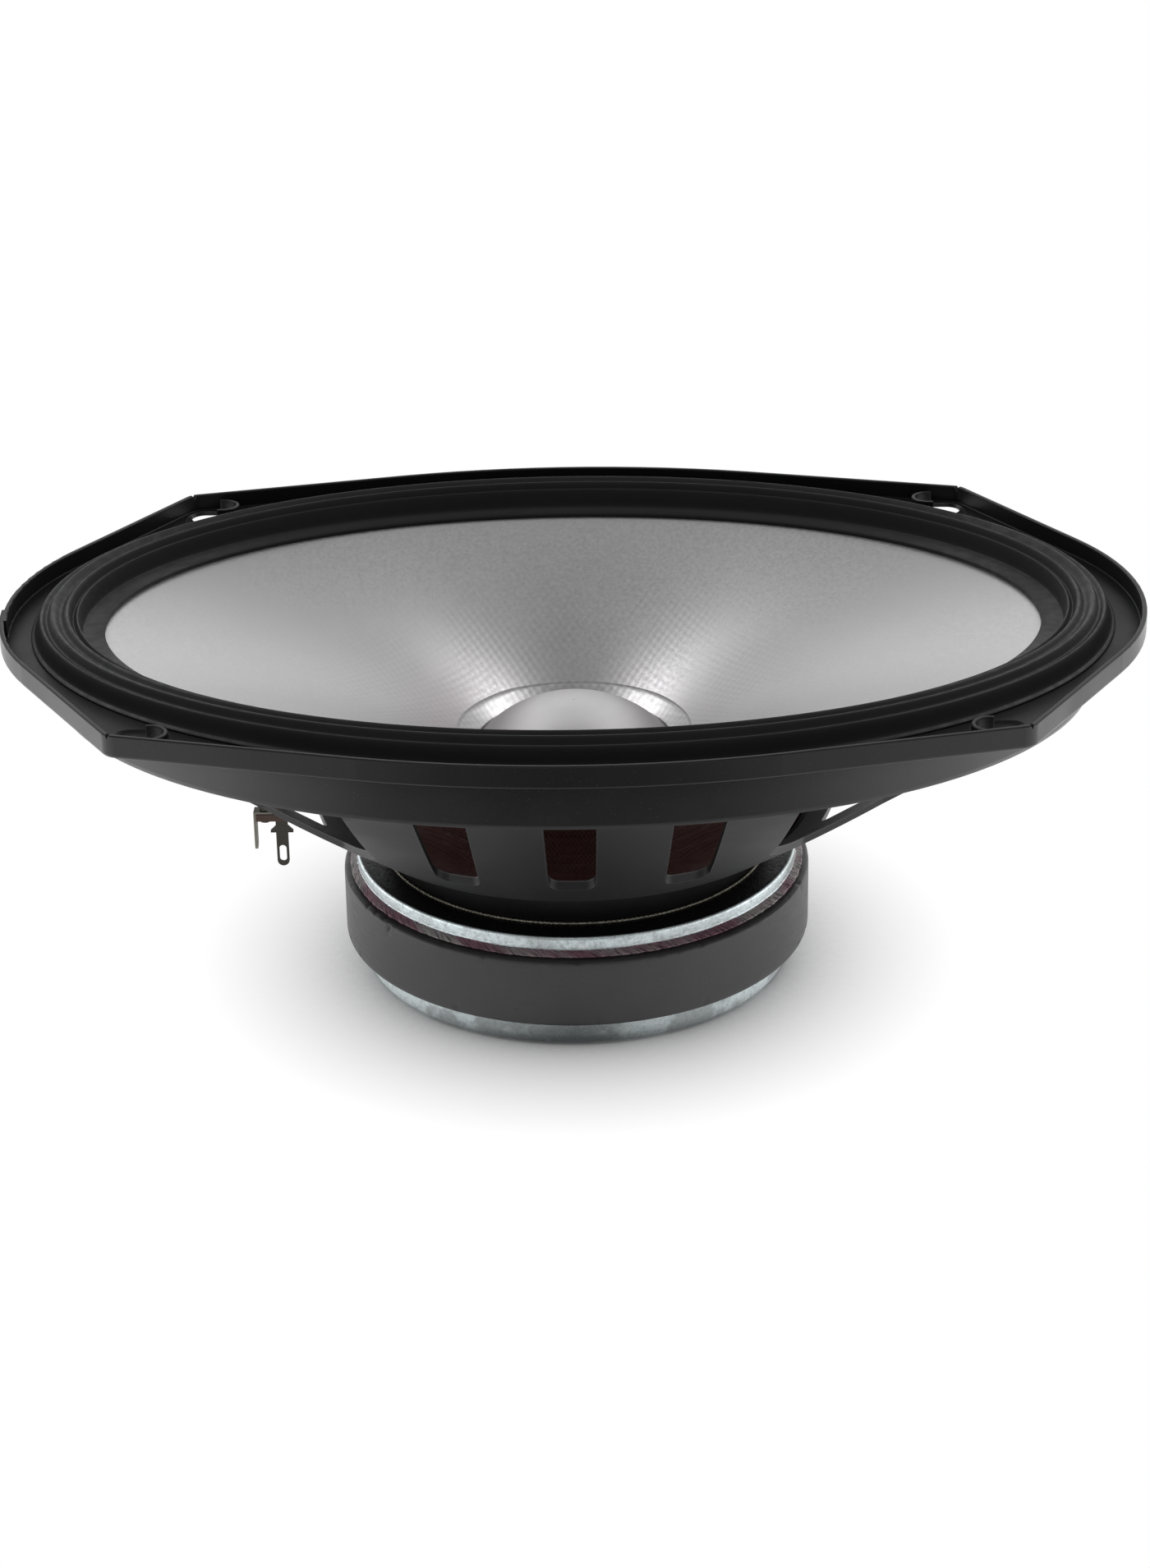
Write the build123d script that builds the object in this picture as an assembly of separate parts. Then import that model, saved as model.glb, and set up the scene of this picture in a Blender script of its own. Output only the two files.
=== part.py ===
from build123d import *
import os
from math import acos, atan2, cos, pi, radians, sin

# Oval six by nine inch car loudspeaker driver, as the separate pieces it is assembled from.
#
# Millimetres, +Z along the driver's axis, out of the cone. The origin is on that axis, in the
# plane of the flange's underside, which is the face that lies on the panel. X is the long way.

# ---- basket: flange and rim ------------------------------------------------------------------
SHEET = 1.0                      # pressed steel thickness
RIM_HEIGHT = 4.7                 # flange underside to the top of the upturned rim
CORNER_X, CORNER_Y = 86.7, 66.7  # the four corners of the flange
SIDE_TANGENT = (39.0, 78.4)      # where the long side's straight part meets its bow
SIDE_Y = 82.9                    # the bow at its middle
END_X = 117.4                    # the round end, at its middle
END_R = 60.5                     # radius of the round end; the slanted edge meets it smoothly
CORNER_FILLET = 4.0
RIM_BEND = 0.7                   # outer radius of the bend between flange and rim
RIM_BEND_INSIDE = 0.3
RIM_EDGE_ROUND = 0.3
CORNER_NOTCH_ANGLE = 49.9        # direction of the small rim notch at each corner, degrees
CORNER_NOTCH = (1.1, 1.0)        # its width and depth
SEAM_Y = -2.5                    # the rim's two halves overlap here, at the -X end
SEAM_OVERLAP, SEAM_STEP = 6.0, 0.5
RIM_BAND = 6.0                   # a cutter's length across the rim wall

# ---- basket: mounting slots ------------------------------------------------------------------
SLOT_SPACING_X, SLOT_SPACING_Y = 162.4, 125.6
SLOT_LENGTH, SLOT_WIDTH = 10.0, 5.6
SLOT_LIP, SLOT_LIP_TOP_Z = 0.8, 3.6  # the sheet is drawn up round the slot's inner end
SLOT_LIP_START = -1.2            # along the slot, from its middle
DISH_X, DISH_Y = 81.3, 60.4      # middle of the shallow dish that each slot stands in
DISH_LENGTH, DISH_WIDTH, DISH_ROUND = 11.4, 9.6, 3.6
DISH_DEPTH, DISH_SLOPE = 0.6, 0.5

# ---- basket: drum, hull, spider seat and cup -------------------------------------------------
DRUM_TOP = (108.4, 75.6)         # half axes of the drum's outside, where it leaves the flange
DRUM_BOTTOM = (106.7, 72.9)
DRUM_BOTTOM_Z = -12.5
SEAT_R = 50.2                    # the hull shrinks to this circle at the spider seat
SEAT_TOP_Z = -38.5
CUP_TOP_R, CUP_BOTTOM_R = 43.0, 40.2
CUP_BORE_R = 23.0
DRUM_FOLD_R, SEAT_FOLD_R = 2.0, 1.2
LIP = 0.5                        # hull left standing between the drum and every opening
WINDOW_OUTER_Y = 80.0            # past the drum, so that a window reaches right up to it
MIDDLE_WINDOW = ((4.6, 54.0), (5.2, WINDOW_OUTER_Y))                     # one side, inner to outer
SIDE_WINDOW = ((18.0, 51.1), (26.6, 48.1), (31.0, WINDOW_OUTER_Y), (20.2, WINDOW_OUTER_Y))
END_WINDOW = ((54.3, 8.0), (86.0, 8.0), (80.0, 15.5), (57.1, 22.2), (50.0, 24.6))
CORNER_GAP = ((38.7, 46.0), (45.9, 35.3), (62.5, 26.6), (72.0, 23.5), (120.0, 24.0),
              (120.0, 90.0), (48.5, 90.0), (43.6, 68.0))
WINDOW_ROUND, END_WINDOW_ROUND = 2.2, 0.9

# ---- surround: a ribbed rubber roll, set out from the edge of the visible cone ---------------
CONE_EDGE = (96.2, 61.8)         # half axes of the visible cone
LAND_WIDTH, LAND_TOP, LAND_BOTTOM = 4.4, 0.95, 0.1
RIB_CRESTS = ((5.3, 4.9), (7.2, 6.0), (10.4, 6.1), (12.7, 5.3))   # offset from the edge, height
RIB_VALLEYS = ((6.2, 4.8), (8.7, 5.5), (11.7, 5.1))
ROLL_INSIDE_TOP = (9.4, 5.0)
FOOT_OUT, FOOT_TOP = 14.9, 1.6

# ---- cone ------------------------------------------------------------------------------------
CONE_THICKNESS = 0.7
CONE_RIM_Z = 0.0
CONE_NECK_R, CONE_NECK_Z = 19.8, -27.6
CONE_BOW = 0.12                  # how far the wall bows upwards between neck and rim
CONE_OVAL_POWER = 1.3            # keeps the cone round near the neck and oval at the rim
CONE_SECTIONS = 8
CONE_LIP_WIDTH = 3.4             # flat lip that carries the surround
NECK_COLLAR_DEPTH = 3.0

# ---- dust cap --------------------------------------------------------------------------------
CAP_R, CAP_BASE_Z, CAP_RISE = 20.2, -26.8, 9.0
CAP_THICKNESS = 0.5
CAP_GLUE_OUT_R = 24.5
CAP_GLUE_THICKNESS = 0.3

# ---- voice coil ------------------------------------------------------------------------------
POLE_R = 18.7
FORMER_IN_R, FORMER_OUT_R = 19.2, 19.4
FORMER_TOP_Z, FORMER_BOTTOM_Z = -27.9, -58.8
WINDING_OUT_R = 20.0
WINDING_TOP_Z, WINDING_BOTTOM_Z = -44.3, -58.3
COLLAR_OUT_R = 19.65
COLLAR_BOTTOM_Z = WINDING_TOP_Z + 0.3
NECK_GLUE_R = 21.4

# ---- spider ----------------------------------------------------------------------------------
SPIDER_THICKNESS = 0.5
SPIDER_FOOT_R = 48.6
SPIDER_WAVES = 5
SPIDER_WAVE_HEIGHT = 1.3
SPIDER_IN_R, SPIDER_WAVE_OUT_R = 21.2, 41.6
SPIDER_LIP_HEIGHT = 2.2
SPIDER_GLUE_THICKNESS = 0.2

# ---- motor -----------------------------------------------------------------------------------
TOP_PLATE_R = 46.4
TOP_PLATE_BREAK_R = 47.9         # rough sheared edge below the clean wall
TOP_PLATE_TOP_Z, TOP_PLATE_BREAK_Z, TOP_PLATE_BOTTOM_Z = -49.2, -52.0, -53.3
GAP_R = 20.6
MAGNET_R, MAGNET_BORE_R = 49.2, 26.0
MAGNET_EDGE_ROUND = 0.8
GLUE_LINE = 0.15
BACK_PLATE_R = 45.4
BACK_PLATE_TOP_Z, BACK_PLATE_BOTTOM_Z = -68.0, -74.2
BACK_PLATE_ROUND = 1.4
POLE_TOP_Z = -48.2
POLE_SPIGOT_R = 14.0
POLE_RECESS = 0.8
RIVET_CIRCLE_R, RIVET_COUNT = 32.0, 4
RIVET_SHANK_R, RIVET_HEAD_R, RIVET_HEAD = 1.9, 3.2, 0.9
RIVET_DEPTH = 3.2

# ---- terminals, under the leg at the -X end --------------------------------------------------
BOARD_X = (-66.0, -58.5)
BOARD_Y = (-14.0, 2.0)
BOARD_Z = (-38.6, -37.1)
TONGUE_X = (-66.0, -55.0)
TONGUE_Y = (-6.0, 2.0)
TAB_THICKNESS = 0.5
POSITIVE_X, POSITIVE_WIDTH = -60.75, 2.5
POSITIVE_BLADE_Y = -13.6
POSITIVE_TIP_Z = -48.9
POSITIVE_WING = (4.7, -40.3, -41.3)      # width across the wings, their top and bottom
POSITIVE_SLOT = (1.5, -44.2, -47.9)      # width of the oblong hole, its top and bottom
NEGATIVE_Y = (-13.8, -11.0)
NEGATIVE_TIP_Z = -45.4
NEGATIVE_FOOT_X = -62.4
TAB_RIVET_R, TAB_RIVET_HEAD_R, TAB_RIVET_HEAD = 0.6, 1.1, 0.5
POSITIVE_RIVET = (-60.75, -10.2)
NEGATIVE_RIVET = (-64.2, -12.4)
BOARD_RIVET = (-61.5, -2.0)
BOARD_RIVET_R, BOARD_RIVET_HEAD_R = 1.3, 2.2

# ---- tinsel leads ----------------------------------------------------------------------------
LEAD_R = 0.55
JOINT_ANGLES = (188.0, 212.0)    # where the leads reach the coil former, positive first, degrees
JOINT_WIDTH, JOINT_DEPTH = 1.8, 1.0
JOINT_Z = (-35.6, -33.2)
LEAD_RISE, LEAD_REACH = 14.0, 22.0   # how strongly a lead's curve leaves its rivet and its joint


# ---- shared shapes ---------------------------------------------------------------------------
def ellipse_at(half_axes, z):
    return Pos(0, 0, z) * Ellipse(half_axes[0], half_axes[1])


def grown(half_axes, amount):
    return (half_axes[0] + amount, half_axes[1] + amount)


def turned(points):
    """A solid of revolution from a closed outline of (radius, height) points."""
    return revolve(make_face(Plane.XZ * Polyline(*points, close=True)), Axis.Z)


def ring(inner_r, outer_r, low, high):
    outline = ((inner_r, low), (outer_r, low), (outer_r, high), (inner_r, high))
    return turned(outline)


def peg(x, y, r, low, high):
    return Pos(x, y, low) * extrude(Circle(r), high - low)


def block(x_range, y_range, z_range):
    size = [high - low for low, high in (x_range, y_range, z_range)]
    middle = [(high + low) / 2 for low, high in (x_range, y_range, z_range)]
    return Pos(*middle) * Box(*size)


def prism(outline, low, high):
    return Pos(0, 0, low) * extrude(outline, high - low)


def four_ways(cutter):
    """The cutter and its mirror images across the XZ and YZ planes."""
    across = mirror(cutter, Plane.YZ)
    return [cutter, across, mirror(cutter, Plane.XZ), mirror(across, Plane.XZ)]


# ---- basket ----------------------------------------------------------------------------------
def end_tangent(end_x):
    """Where the slanted edge from a corner meets the round end."""
    centre_x = end_x - END_R
    to_corner = Vector(CORNER_X - centre_x, CORNER_Y)
    angle = atan2(to_corner.Y, to_corner.X) - acos(END_R / to_corner.length)
    return centre_x + END_R * cos(angle), END_R * sin(angle)


def flange_outline(left_reach):
    """Two long sides bowed in their middles, four straight slanted edges and two round ends."""
    sx, sy = SIDE_TANGENT
    edges = []
    for side in (-1, 1):
        edges.append(ThreePointArc((-sx, side * sy), (0, side * SIDE_Y), (sx, side * sy)))
    for side, end_x in ((-1, left_reach), (1, END_X)):
        tx, ty = end_tangent(end_x)
        edges.append(ThreePointArc((side * tx, -ty), (side * end_x, 0), (side * tx, ty)))
        for across in (-1, 1):
            corner = (side * CORNER_X, across * CORNER_Y)
            edges.append(Line((side * sx, across * sy), corner))
            edges.append(Line(corner, (side * tx, across * ty)))
    outline = make_face(Curve() + edges)
    corners = [v for v in outline.vertices() if abs(abs(v.Y) - CORNER_Y) < 0.1]
    return fillet(corners, CORNER_FILLET)


def rimmed_tray(left_reach):
    """The flange plate with its rim all round."""
    outline = flange_outline(left_reach)
    pocket = prism(offset(outline, -SHEET), SHEET, 2 * RIM_HEIGHT)
    pocket = fillet(pocket.faces().sort_by(Axis.Z)[0].edges(), RIM_BEND_INSIDE)
    tray = prism(outline, 0, RIM_HEIGHT) - pocket
    tray = fillet(tray.faces().sort_by(Axis.Z)[0].edges(), RIM_BEND)
    return fillet(tray.faces().sort_by(Axis.Z)[-1].edges(), RIM_EDGE_ROUND)


def rimmed_flange():
    """The tray, with its rim split at the -X end: the +Y half tucks behind the -Y half."""
    heights = (-1, RIM_HEIGHT + 1)
    beside = block((-END_X - 1, 0), (SEAM_Y, SIDE_Y + 1), heights)
    beside_and_behind = block((-END_X - 1, 0), (SEAM_Y - SEAM_OVERLAP, SIDE_Y + 1), heights)
    tucked = rimmed_tray(END_X - SEAM_STEP) & beside_and_behind
    return (rimmed_tray(END_X) - beside) + tucked


def rim_notches():
    """A small V at each corner of the rim."""
    width, depth = CORNER_NOTCH
    vee = make_face(Polyline((-width / 2, 0.2), (0, -depth), (width / 2, 0.2), close=True))
    vee = Pos(0, RIM_BAND / 2, 0) * extrude(Plane.XZ * vee, RIM_BAND)
    notch = Pos(CORNER_X - 1, CORNER_Y - 1, RIM_HEIGHT) * Rot(0, 0, CORNER_NOTCH_ANGLE - 90) * vee
    return four_ways(notch)


def mounting_slots():
    """A slot near each corner, in a shallow dish with sloping sides."""
    slot = SlotOverall(SLOT_LENGTH, SLOT_WIDTH)
    through = Pos(SLOT_SPACING_X / 2, SLOT_SPACING_Y / 2) * prism(slot, -SHEET, 2 * SHEET)
    shrink = 2 * DISH_SLOPE
    dish = loft([
        Pos(0, 0, SHEET - DISH_DEPTH) * RectangleRounded(DISH_LENGTH - shrink, DISH_WIDTH - shrink,
                                                         DISH_ROUND - DISH_SLOPE),
        Pos(0, 0, SHEET) * RectangleRounded(DISH_LENGTH, DISH_WIDTH, DISH_ROUND),
    ])
    return four_ways(through + Pos(DISH_X, DISH_Y) * dish)


def slot_lips():
    """A low wall of drawn-up sheet round the inner end of each slot."""
    outside = SlotOverall(SLOT_LENGTH + 2 * SLOT_LIP, SLOT_WIDTH + 2 * SLOT_LIP)
    wall = prism(outside - SlotOverall(SLOT_LENGTH, SLOT_WIDTH), (SHEET - DISH_DEPTH) / 2, SLOT_LIP_TOP_Z)
    wall &= block((-SLOT_LENGTH, SLOT_LIP_START), (-SLOT_WIDTH, SLOT_WIDTH), (0, SLOT_LIP_TOP_Z))
    wall = fillet(wall.faces().sort_by(Axis.Z)[-1].edges(), SLOT_LIP / 3)
    return four_ways(Pos(SLOT_SPACING_X / 2, SLOT_SPACING_Y / 2) * wall)


def window(points, corner_round=WINDOW_ROUND):
    outline = fillet(make_face(Polyline(*points, close=True)).vertices(), corner_round)
    return prism(outline, SEAT_TOP_Z - 10, DRUM_BOTTOM_Z - LIP)


def hull_openings():
    """Three windows in each long leg, two in each end leg, and a wide gap at each corner."""
    right_side = list(MIDDLE_WINDOW)
    left_side = [(-x, y) for x, y in reversed(MIDDLE_WINDOW)]
    middle = window(right_side + left_side)
    openings = [middle, mirror(middle, Plane.XZ)]
    for points in (SIDE_WINDOW, CORNER_GAP):
        openings += four_ways(window(points))
    return openings + four_ways(window(END_WINDOW, END_WINDOW_ROUND))


def bowl():
    """Drum, sloping hull, spider seat and cup, as one pressed wall of sheet thickness."""
    seat_low = SEAT_TOP_Z - SHEET
    base_low = TOP_PLATE_TOP_Z
    outside = loft([ellipse_at(DRUM_TOP, SHEET), ellipse_at(DRUM_BOTTOM, DRUM_BOTTOM_Z)], ruled=True)
    outside += loft([ellipse_at(DRUM_BOTTOM, DRUM_BOTTOM_Z), Pos(0, 0, seat_low) * Circle(SEAT_R)],
                    ruled=True)
    folds = outside.edges().filter_by_position(Axis.Z, DRUM_BOTTOM_Z - 0.01, DRUM_BOTTOM_Z + 0.01)
    outside = fillet(folds, DRUM_FOLD_R)
    outside = fillet(outside.edges().sort_by(Axis.Z)[0], SEAT_FOLD_R)
    outside += turned([(0, seat_low), (CUP_TOP_R, seat_low), (CUP_BOTTOM_R, base_low), (0, base_low)])

    top, bottom = grown(DRUM_TOP, -SHEET), grown(DRUM_BOTTOM, -SHEET)
    fold_z = DRUM_BOTTOM_Z + SHEET / 2
    inside = loft([ellipse_at(top, SHEET), ellipse_at(bottom, fold_z)], ruled=True)
    inside += loft([ellipse_at(bottom, fold_z), Pos(0, 0, SEAT_TOP_Z) * Circle(SEAT_R - SHEET)],
                   ruled=True)
    inside += turned([(0, SEAT_TOP_Z), (CUP_TOP_R - SHEET, SEAT_TOP_Z),
                      (CUP_BOTTOM_R - SHEET, base_low + SHEET), (0, base_low + SHEET)])
    return outside - inside - peg(0, 0, CUP_BORE_R, base_low - 1, SEAT_TOP_Z)


def rivet_places():
    angles = [2 * pi * (i + 0.5) / RIVET_COUNT for i in range(RIVET_COUNT)]
    return [(RIVET_CIRCLE_R * cos(a), RIVET_CIRCLE_R * sin(a)) for a in angles]


def basket():
    opening = prism(Ellipse(*grown(DRUM_TOP, -SHEET)), -SHEET, 2 * SHEET)
    flange = rimmed_flange() - opening - rim_notches() - mounting_slots() + slot_lips()
    body = flange + (bowl() - hull_openings())
    tongue = block(TONGUE_X, TONGUE_Y, (BOARD_Z[1], BOARD_Z[1] + SHEET))
    body += tongue
    body -= peg(*BOARD_RIVET, BOARD_RIVET_R, BOARD_Z[1] - 1, BOARD_Z[1] + 2 * SHEET)
    for x, y in rivet_places():
        body -= peg(x, y, RIVET_SHANK_R, TOP_PLATE_TOP_Z - 1, TOP_PLATE_TOP_Z + 2 * SHEET)
    return body


# ---- suspension ------------------------------------------------------------------------------
def surround():
    """The ribbed section, swept round the cone's oval edge at a constant offset."""
    crests, valleys = RIB_CRESTS, RIB_VALLEYS
    inner_foot = (LAND_WIDTH, LAND_TOP)
    outer_foot = (FOOT_OUT - 0.9, FOOT_TOP)
    edges = Curve() + [
        Line((0, LAND_BOTTOM), (0, LAND_TOP)),
        Line((0, LAND_TOP), inner_foot),
        Line(inner_foot, (crests[0][0] - 0.4, crests[0][1] - 0.5)),
        ThreePointArc((crests[0][0] - 0.4, crests[0][1] - 0.5), crests[0], valleys[0]),
        ThreePointArc(valleys[0], crests[1], valleys[1]),
        ThreePointArc(valleys[1], crests[2], valleys[2]),
        ThreePointArc(valleys[2], crests[3], (crests[3][0] + 0.6, crests[3][1] - 1.0)),
        Line((crests[3][0] + 0.6, crests[3][1] - 1.0), outer_foot),
        Line(outer_foot, (FOOT_OUT, FOOT_TOP)),
        Line((FOOT_OUT, FOOT_TOP), (FOOT_OUT, SHEET)),
        Line((FOOT_OUT, SHEET), (FOOT_OUT - 1.7, SHEET)),
        ThreePointArc((FOOT_OUT - 1.7, SHEET), ROLL_INSIDE_TOP, (LAND_WIDTH + 0.8, LAND_BOTTOM)),
        Line((LAND_WIDTH + 0.8, LAND_BOTTOM), (0, LAND_BOTTOM)),
    ]
    section_plane = Plane(origin=(CONE_EDGE[0], 0, 0), x_dir=(1, 0, 0), z_dir=(0, -1, 0))
    path = Ellipse(*CONE_EDGE).edge()
    return sweep(section_plane * make_face(edges), path=path)


def corrugation(base):
    """The spider's waves as arcs, from the valley at its inner end to the valley at its outer end."""
    quarter = (SPIDER_WAVE_OUT_R - SPIDER_IN_R) / SPIDER_WAVES / 4
    middle, crest = base + SPIDER_WAVE_HEIGHT / 2, base + SPIDER_WAVE_HEIGHT
    arcs = [
        TangentArc((SPIDER_IN_R, base), (SPIDER_IN_R + quarter, middle), tangent=(1, 0)),
        TangentArc((SPIDER_WAVE_OUT_R, base), (SPIDER_WAVE_OUT_R - quarter, middle), tangent=(-1, 0)),
    ]
    for i in range(2 * SPIDER_WAVES - 1):
        start = SPIDER_IN_R + quarter * (2 * i + 1)
        turning = crest if i % 2 == 0 else base
        arcs.append(ThreePointArc((start, middle), (start + quarter, turning), (start + 2 * quarter, middle)))
    return arcs


def spider():
    """Corrugated disc with a flat foot on the seat and an upturned lip at the coil former."""
    floor = SEAT_TOP_Z + SPIDER_GLUE_THICKNESS
    top = floor + SPIDER_THICKNESS
    lip_in, lip_out = COLLAR_OUT_R + 0.05, COLLAR_OUT_R + 0.05 + SPIDER_THICKNESS
    lip_top = floor + SPIDER_LIP_HEIGHT
    foot = Polyline((SPIDER_WAVE_OUT_R, floor), (SPIDER_FOOT_R, floor),
                    (SPIDER_FOOT_R, top), (SPIDER_WAVE_OUT_R, top))
    lip = Polyline((SPIDER_IN_R, top), (lip_out, top), (lip_out, lip_top),
                   (lip_in, lip_top), (lip_in, floor), (SPIDER_IN_R, floor))
    outline = Curve() + [*corrugation(floor), *corrugation(top), foot, lip]
    return revolve(make_face(Plane.XZ * outline), Axis.Z)


def spider_adhesive():
    return ring(SPIDER_WAVE_OUT_R + 1.4, SPIDER_FOOT_R - 0.3, SEAT_TOP_Z,
                SEAT_TOP_Z + SPIDER_GLUE_THICKNESS)


# ---- cone and dust cap -----------------------------------------------------------------------
def cone_section(t):
    """The oval across the cone's outside, from the neck at t = 0 to the rim at t = 1."""
    a = CONE_NECK_R + (CONE_EDGE[0] - CONE_NECK_R) * t ** CONE_OVAL_POWER
    b = CONE_NECK_R + (CONE_EDGE[1] - CONE_NECK_R) * t
    z = CONE_NECK_Z + (CONE_RIM_Z - CONE_NECK_Z) * t * (1 + CONE_BOW * (1 - t))
    return ellipse_at((a, b), z - CONE_THICKNESS)


def cone_filled():
    """Everything above the cone's underside, up to its rim."""
    return loft([cone_section(i / CONE_SECTIONS) for i in range(CONE_SECTIONS + 1)])


def cone(filled):
    shell = filled - Pos(0, 0, CONE_THICKNESS) * filled
    lip = prism(Ellipse(*grown(CONE_EDGE, CONE_LIP_WIDTH)), CONE_RIM_Z - CONE_THICKNESS, CONE_RIM_Z)
    lip -= prism(Ellipse(*grown(CONE_EDGE, -0.8)), CONE_RIM_Z - 2, CONE_RIM_Z + 1)
    bore_r = FORMER_OUT_R + 0.05
    collar = ring(bore_r, CONE_NECK_R + CONE_THICKNESS,
                  CONE_NECK_Z - NECK_COLLAR_DEPTH, CONE_NECK_Z)
    return shell + lip + collar - peg(0, 0, bore_r, CONE_NECK_Z - 10, CONE_NECK_Z + 10)


def dust_cap():
    sphere_r = (CAP_R ** 2 + CAP_RISE ** 2) / (2 * CAP_RISE)
    centre_z = CAP_BASE_Z + CAP_RISE - sphere_r
    dome = Pos(0, 0, centre_z) * (Sphere(sphere_r) - Sphere(sphere_r - CAP_THICKNESS))
    keep = peg(0, 0, CAP_R, CAP_BASE_Z, CAP_BASE_Z + 2 * CAP_RISE)
    return dome & keep


def dust_cap_adhesive(filled):
    """A thin clear band on the cone, round the foot of the dust cap."""
    band = ring(CAP_R + 0.1, CAP_GLUE_OUT_R, CONE_NECK_Z - 2, CONE_NECK_Z + 12)
    clear = 0.02
    above = band & (Pos(0, 0, CONE_THICKNESS + clear) * filled)
    return above - Pos(0, 0, CONE_THICKNESS + clear + CAP_GLUE_THICKNESS) * filled


# ---- voice coil ------------------------------------------------------------------------------
def voice_coil_former():
    return ring(FORMER_IN_R, FORMER_OUT_R, FORMER_BOTTOM_Z, FORMER_TOP_Z)


def voice_coil_winding():
    """The wound layers of wire, as one sleeve on the former."""
    return ring(FORMER_OUT_R, WINDING_OUT_R, WINDING_BOTTOM_Z, WINDING_TOP_Z)


def former_collar():
    top = CONE_NECK_Z - NECK_COLLAR_DEPTH - 0.1
    return ring(FORMER_OUT_R, COLLAR_OUT_R, COLLAR_BOTTOM_Z, top)


def neck_adhesive():
    """Fillet of glue under the cone's neck, against the coil former."""
    top = CONE_NECK_Z - NECK_COLLAR_DEPTH
    inner = COLLAR_OUT_R + 0.05
    return turned([(inner, top - 2.2), (inner, top - 0.05), (NECK_GLUE_R, top - 0.05)])


# ---- motor -----------------------------------------------------------------------------------
def top_plate():
    plate = turned([
        (GAP_R, TOP_PLATE_TOP_Z), (TOP_PLATE_R - 0.4, TOP_PLATE_TOP_Z),
        (TOP_PLATE_R, TOP_PLATE_TOP_Z - 0.4), (TOP_PLATE_R, TOP_PLATE_BREAK_Z),
        (TOP_PLATE_BREAK_R, TOP_PLATE_BOTTOM_Z), (GAP_R, TOP_PLATE_BOTTOM_Z),
    ])
    for x, y in rivet_places():
        plate -= peg(x, y, RIVET_SHANK_R, TOP_PLATE_TOP_Z - RIVET_DEPTH, TOP_PLATE_TOP_Z + 1)
    return plate


def magnet():
    low, high = BACK_PLATE_TOP_Z + GLUE_LINE, TOP_PLATE_BOTTOM_Z - GLUE_LINE
    body = ring(MAGNET_BORE_R, MAGNET_R, low, high)
    rims = body.edges().filter_by(GeomType.CIRCLE).sort_by(SortBy.RADIUS)[-2:]
    return fillet(rims, MAGNET_EDGE_ROUND)


def magnet_adhesive(top_z):
    return ring(MAGNET_BORE_R + 1, BACK_PLATE_R - 1, top_z - GLUE_LINE, top_z)


def back_plate():
    plate = ring(POLE_SPIGOT_R, BACK_PLATE_R, BACK_PLATE_BOTTOM_Z, BACK_PLATE_TOP_Z)
    rims = plate.edges().filter_by(GeomType.CIRCLE).sort_by(SortBy.RADIUS)[-2:]
    return fillet(rims.sort_by(Axis.Z)[0], BACK_PLATE_ROUND)


def pole_piece():
    edge = 0.8
    return turned([
        (0, BACK_PLATE_BOTTOM_Z + POLE_RECESS), (POLE_SPIGOT_R, BACK_PLATE_BOTTOM_Z + POLE_RECESS),
        (POLE_SPIGOT_R, BACK_PLATE_TOP_Z), (POLE_R, BACK_PLATE_TOP_Z),
        (POLE_R, POLE_TOP_Z - edge), (POLE_R - edge, POLE_TOP_Z), (0, POLE_TOP_Z),
    ])


def basket_rivets():
    """Each rivet joins the basket's base to the top plate."""
    seat = TOP_PLATE_TOP_Z + SHEET
    rivets = []
    for x, y in rivet_places():
        head = fillet(peg(x, y, RIVET_HEAD_R, seat, seat + RIVET_HEAD).edges().sort_by(Axis.Z)[-1],
                      RIVET_HEAD / 2)
        rivets.append(head + peg(x, y, RIVET_SHANK_R, TOP_PLATE_TOP_Z - RIVET_DEPTH, seat))
    return rivets


# ---- terminals -------------------------------------------------------------------------------
def terminal_board():
    board = block(BOARD_X, BOARD_Y, BOARD_Z)
    for (x, y), r in ((POSITIVE_RIVET, TAB_RIVET_R), (NEGATIVE_RIVET, TAB_RIVET_R),
                      (BOARD_RIVET, BOARD_RIVET_R)):
        board -= peg(x, y, r, BOARD_Z[0] - 1, BOARD_Z[1] + 1)
    return board


def positive_tab():
    """Blade with shoulders and an oblong hole, hanging from a foot under the board."""
    under = BOARD_Z[0]
    half = POSITIVE_WIDTH / 2
    wing_width, wing_top, wing_bottom = POSITIVE_WING
    hole_width, hole_top, hole_bottom = POSITIVE_SLOT
    blade_y = (POSITIVE_BLADE_Y, POSITIVE_BLADE_Y + TAB_THICKNESS)
    x_range = (POSITIVE_X - half, POSITIVE_X + half)

    foot = block(x_range, (blade_y[0], POSITIVE_RIVET[1] + 1.6), (under - TAB_THICKNESS, under))
    tab = foot + block(x_range, blade_y, (POSITIVE_TIP_Z + half, under))
    wings = Polyline((-wing_width / 2, wing_bottom), (wing_width / 2, wing_bottom),
                     (wing_width / 2, wing_top - 0.5), (half, wing_top + 0.6),
                     (-half, wing_top + 0.6), (-wing_width / 2, wing_top - 0.5), close=True)
    front = Plane(origin=(POSITIVE_X, blade_y[1], 0), x_dir=(1, 0, 0), z_dir=(0, -1, 0))
    tab += extrude(front * make_face(wings), TAB_THICKNESS)
    tab += extrude(front * (Pos(0, POSITIVE_TIP_Z + half) * Circle(half)), TAB_THICKNESS)
    hole = Pos(0, (hole_top + hole_bottom) / 2) * Rot(0, 0, 90) * SlotOverall(
        hole_top - hole_bottom, hole_width)
    tab -= extrude(front * hole, TAB_THICKNESS)
    return tab - peg(*POSITIVE_RIVET, TAB_RIVET_R, under - 1, under + 1)


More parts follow.
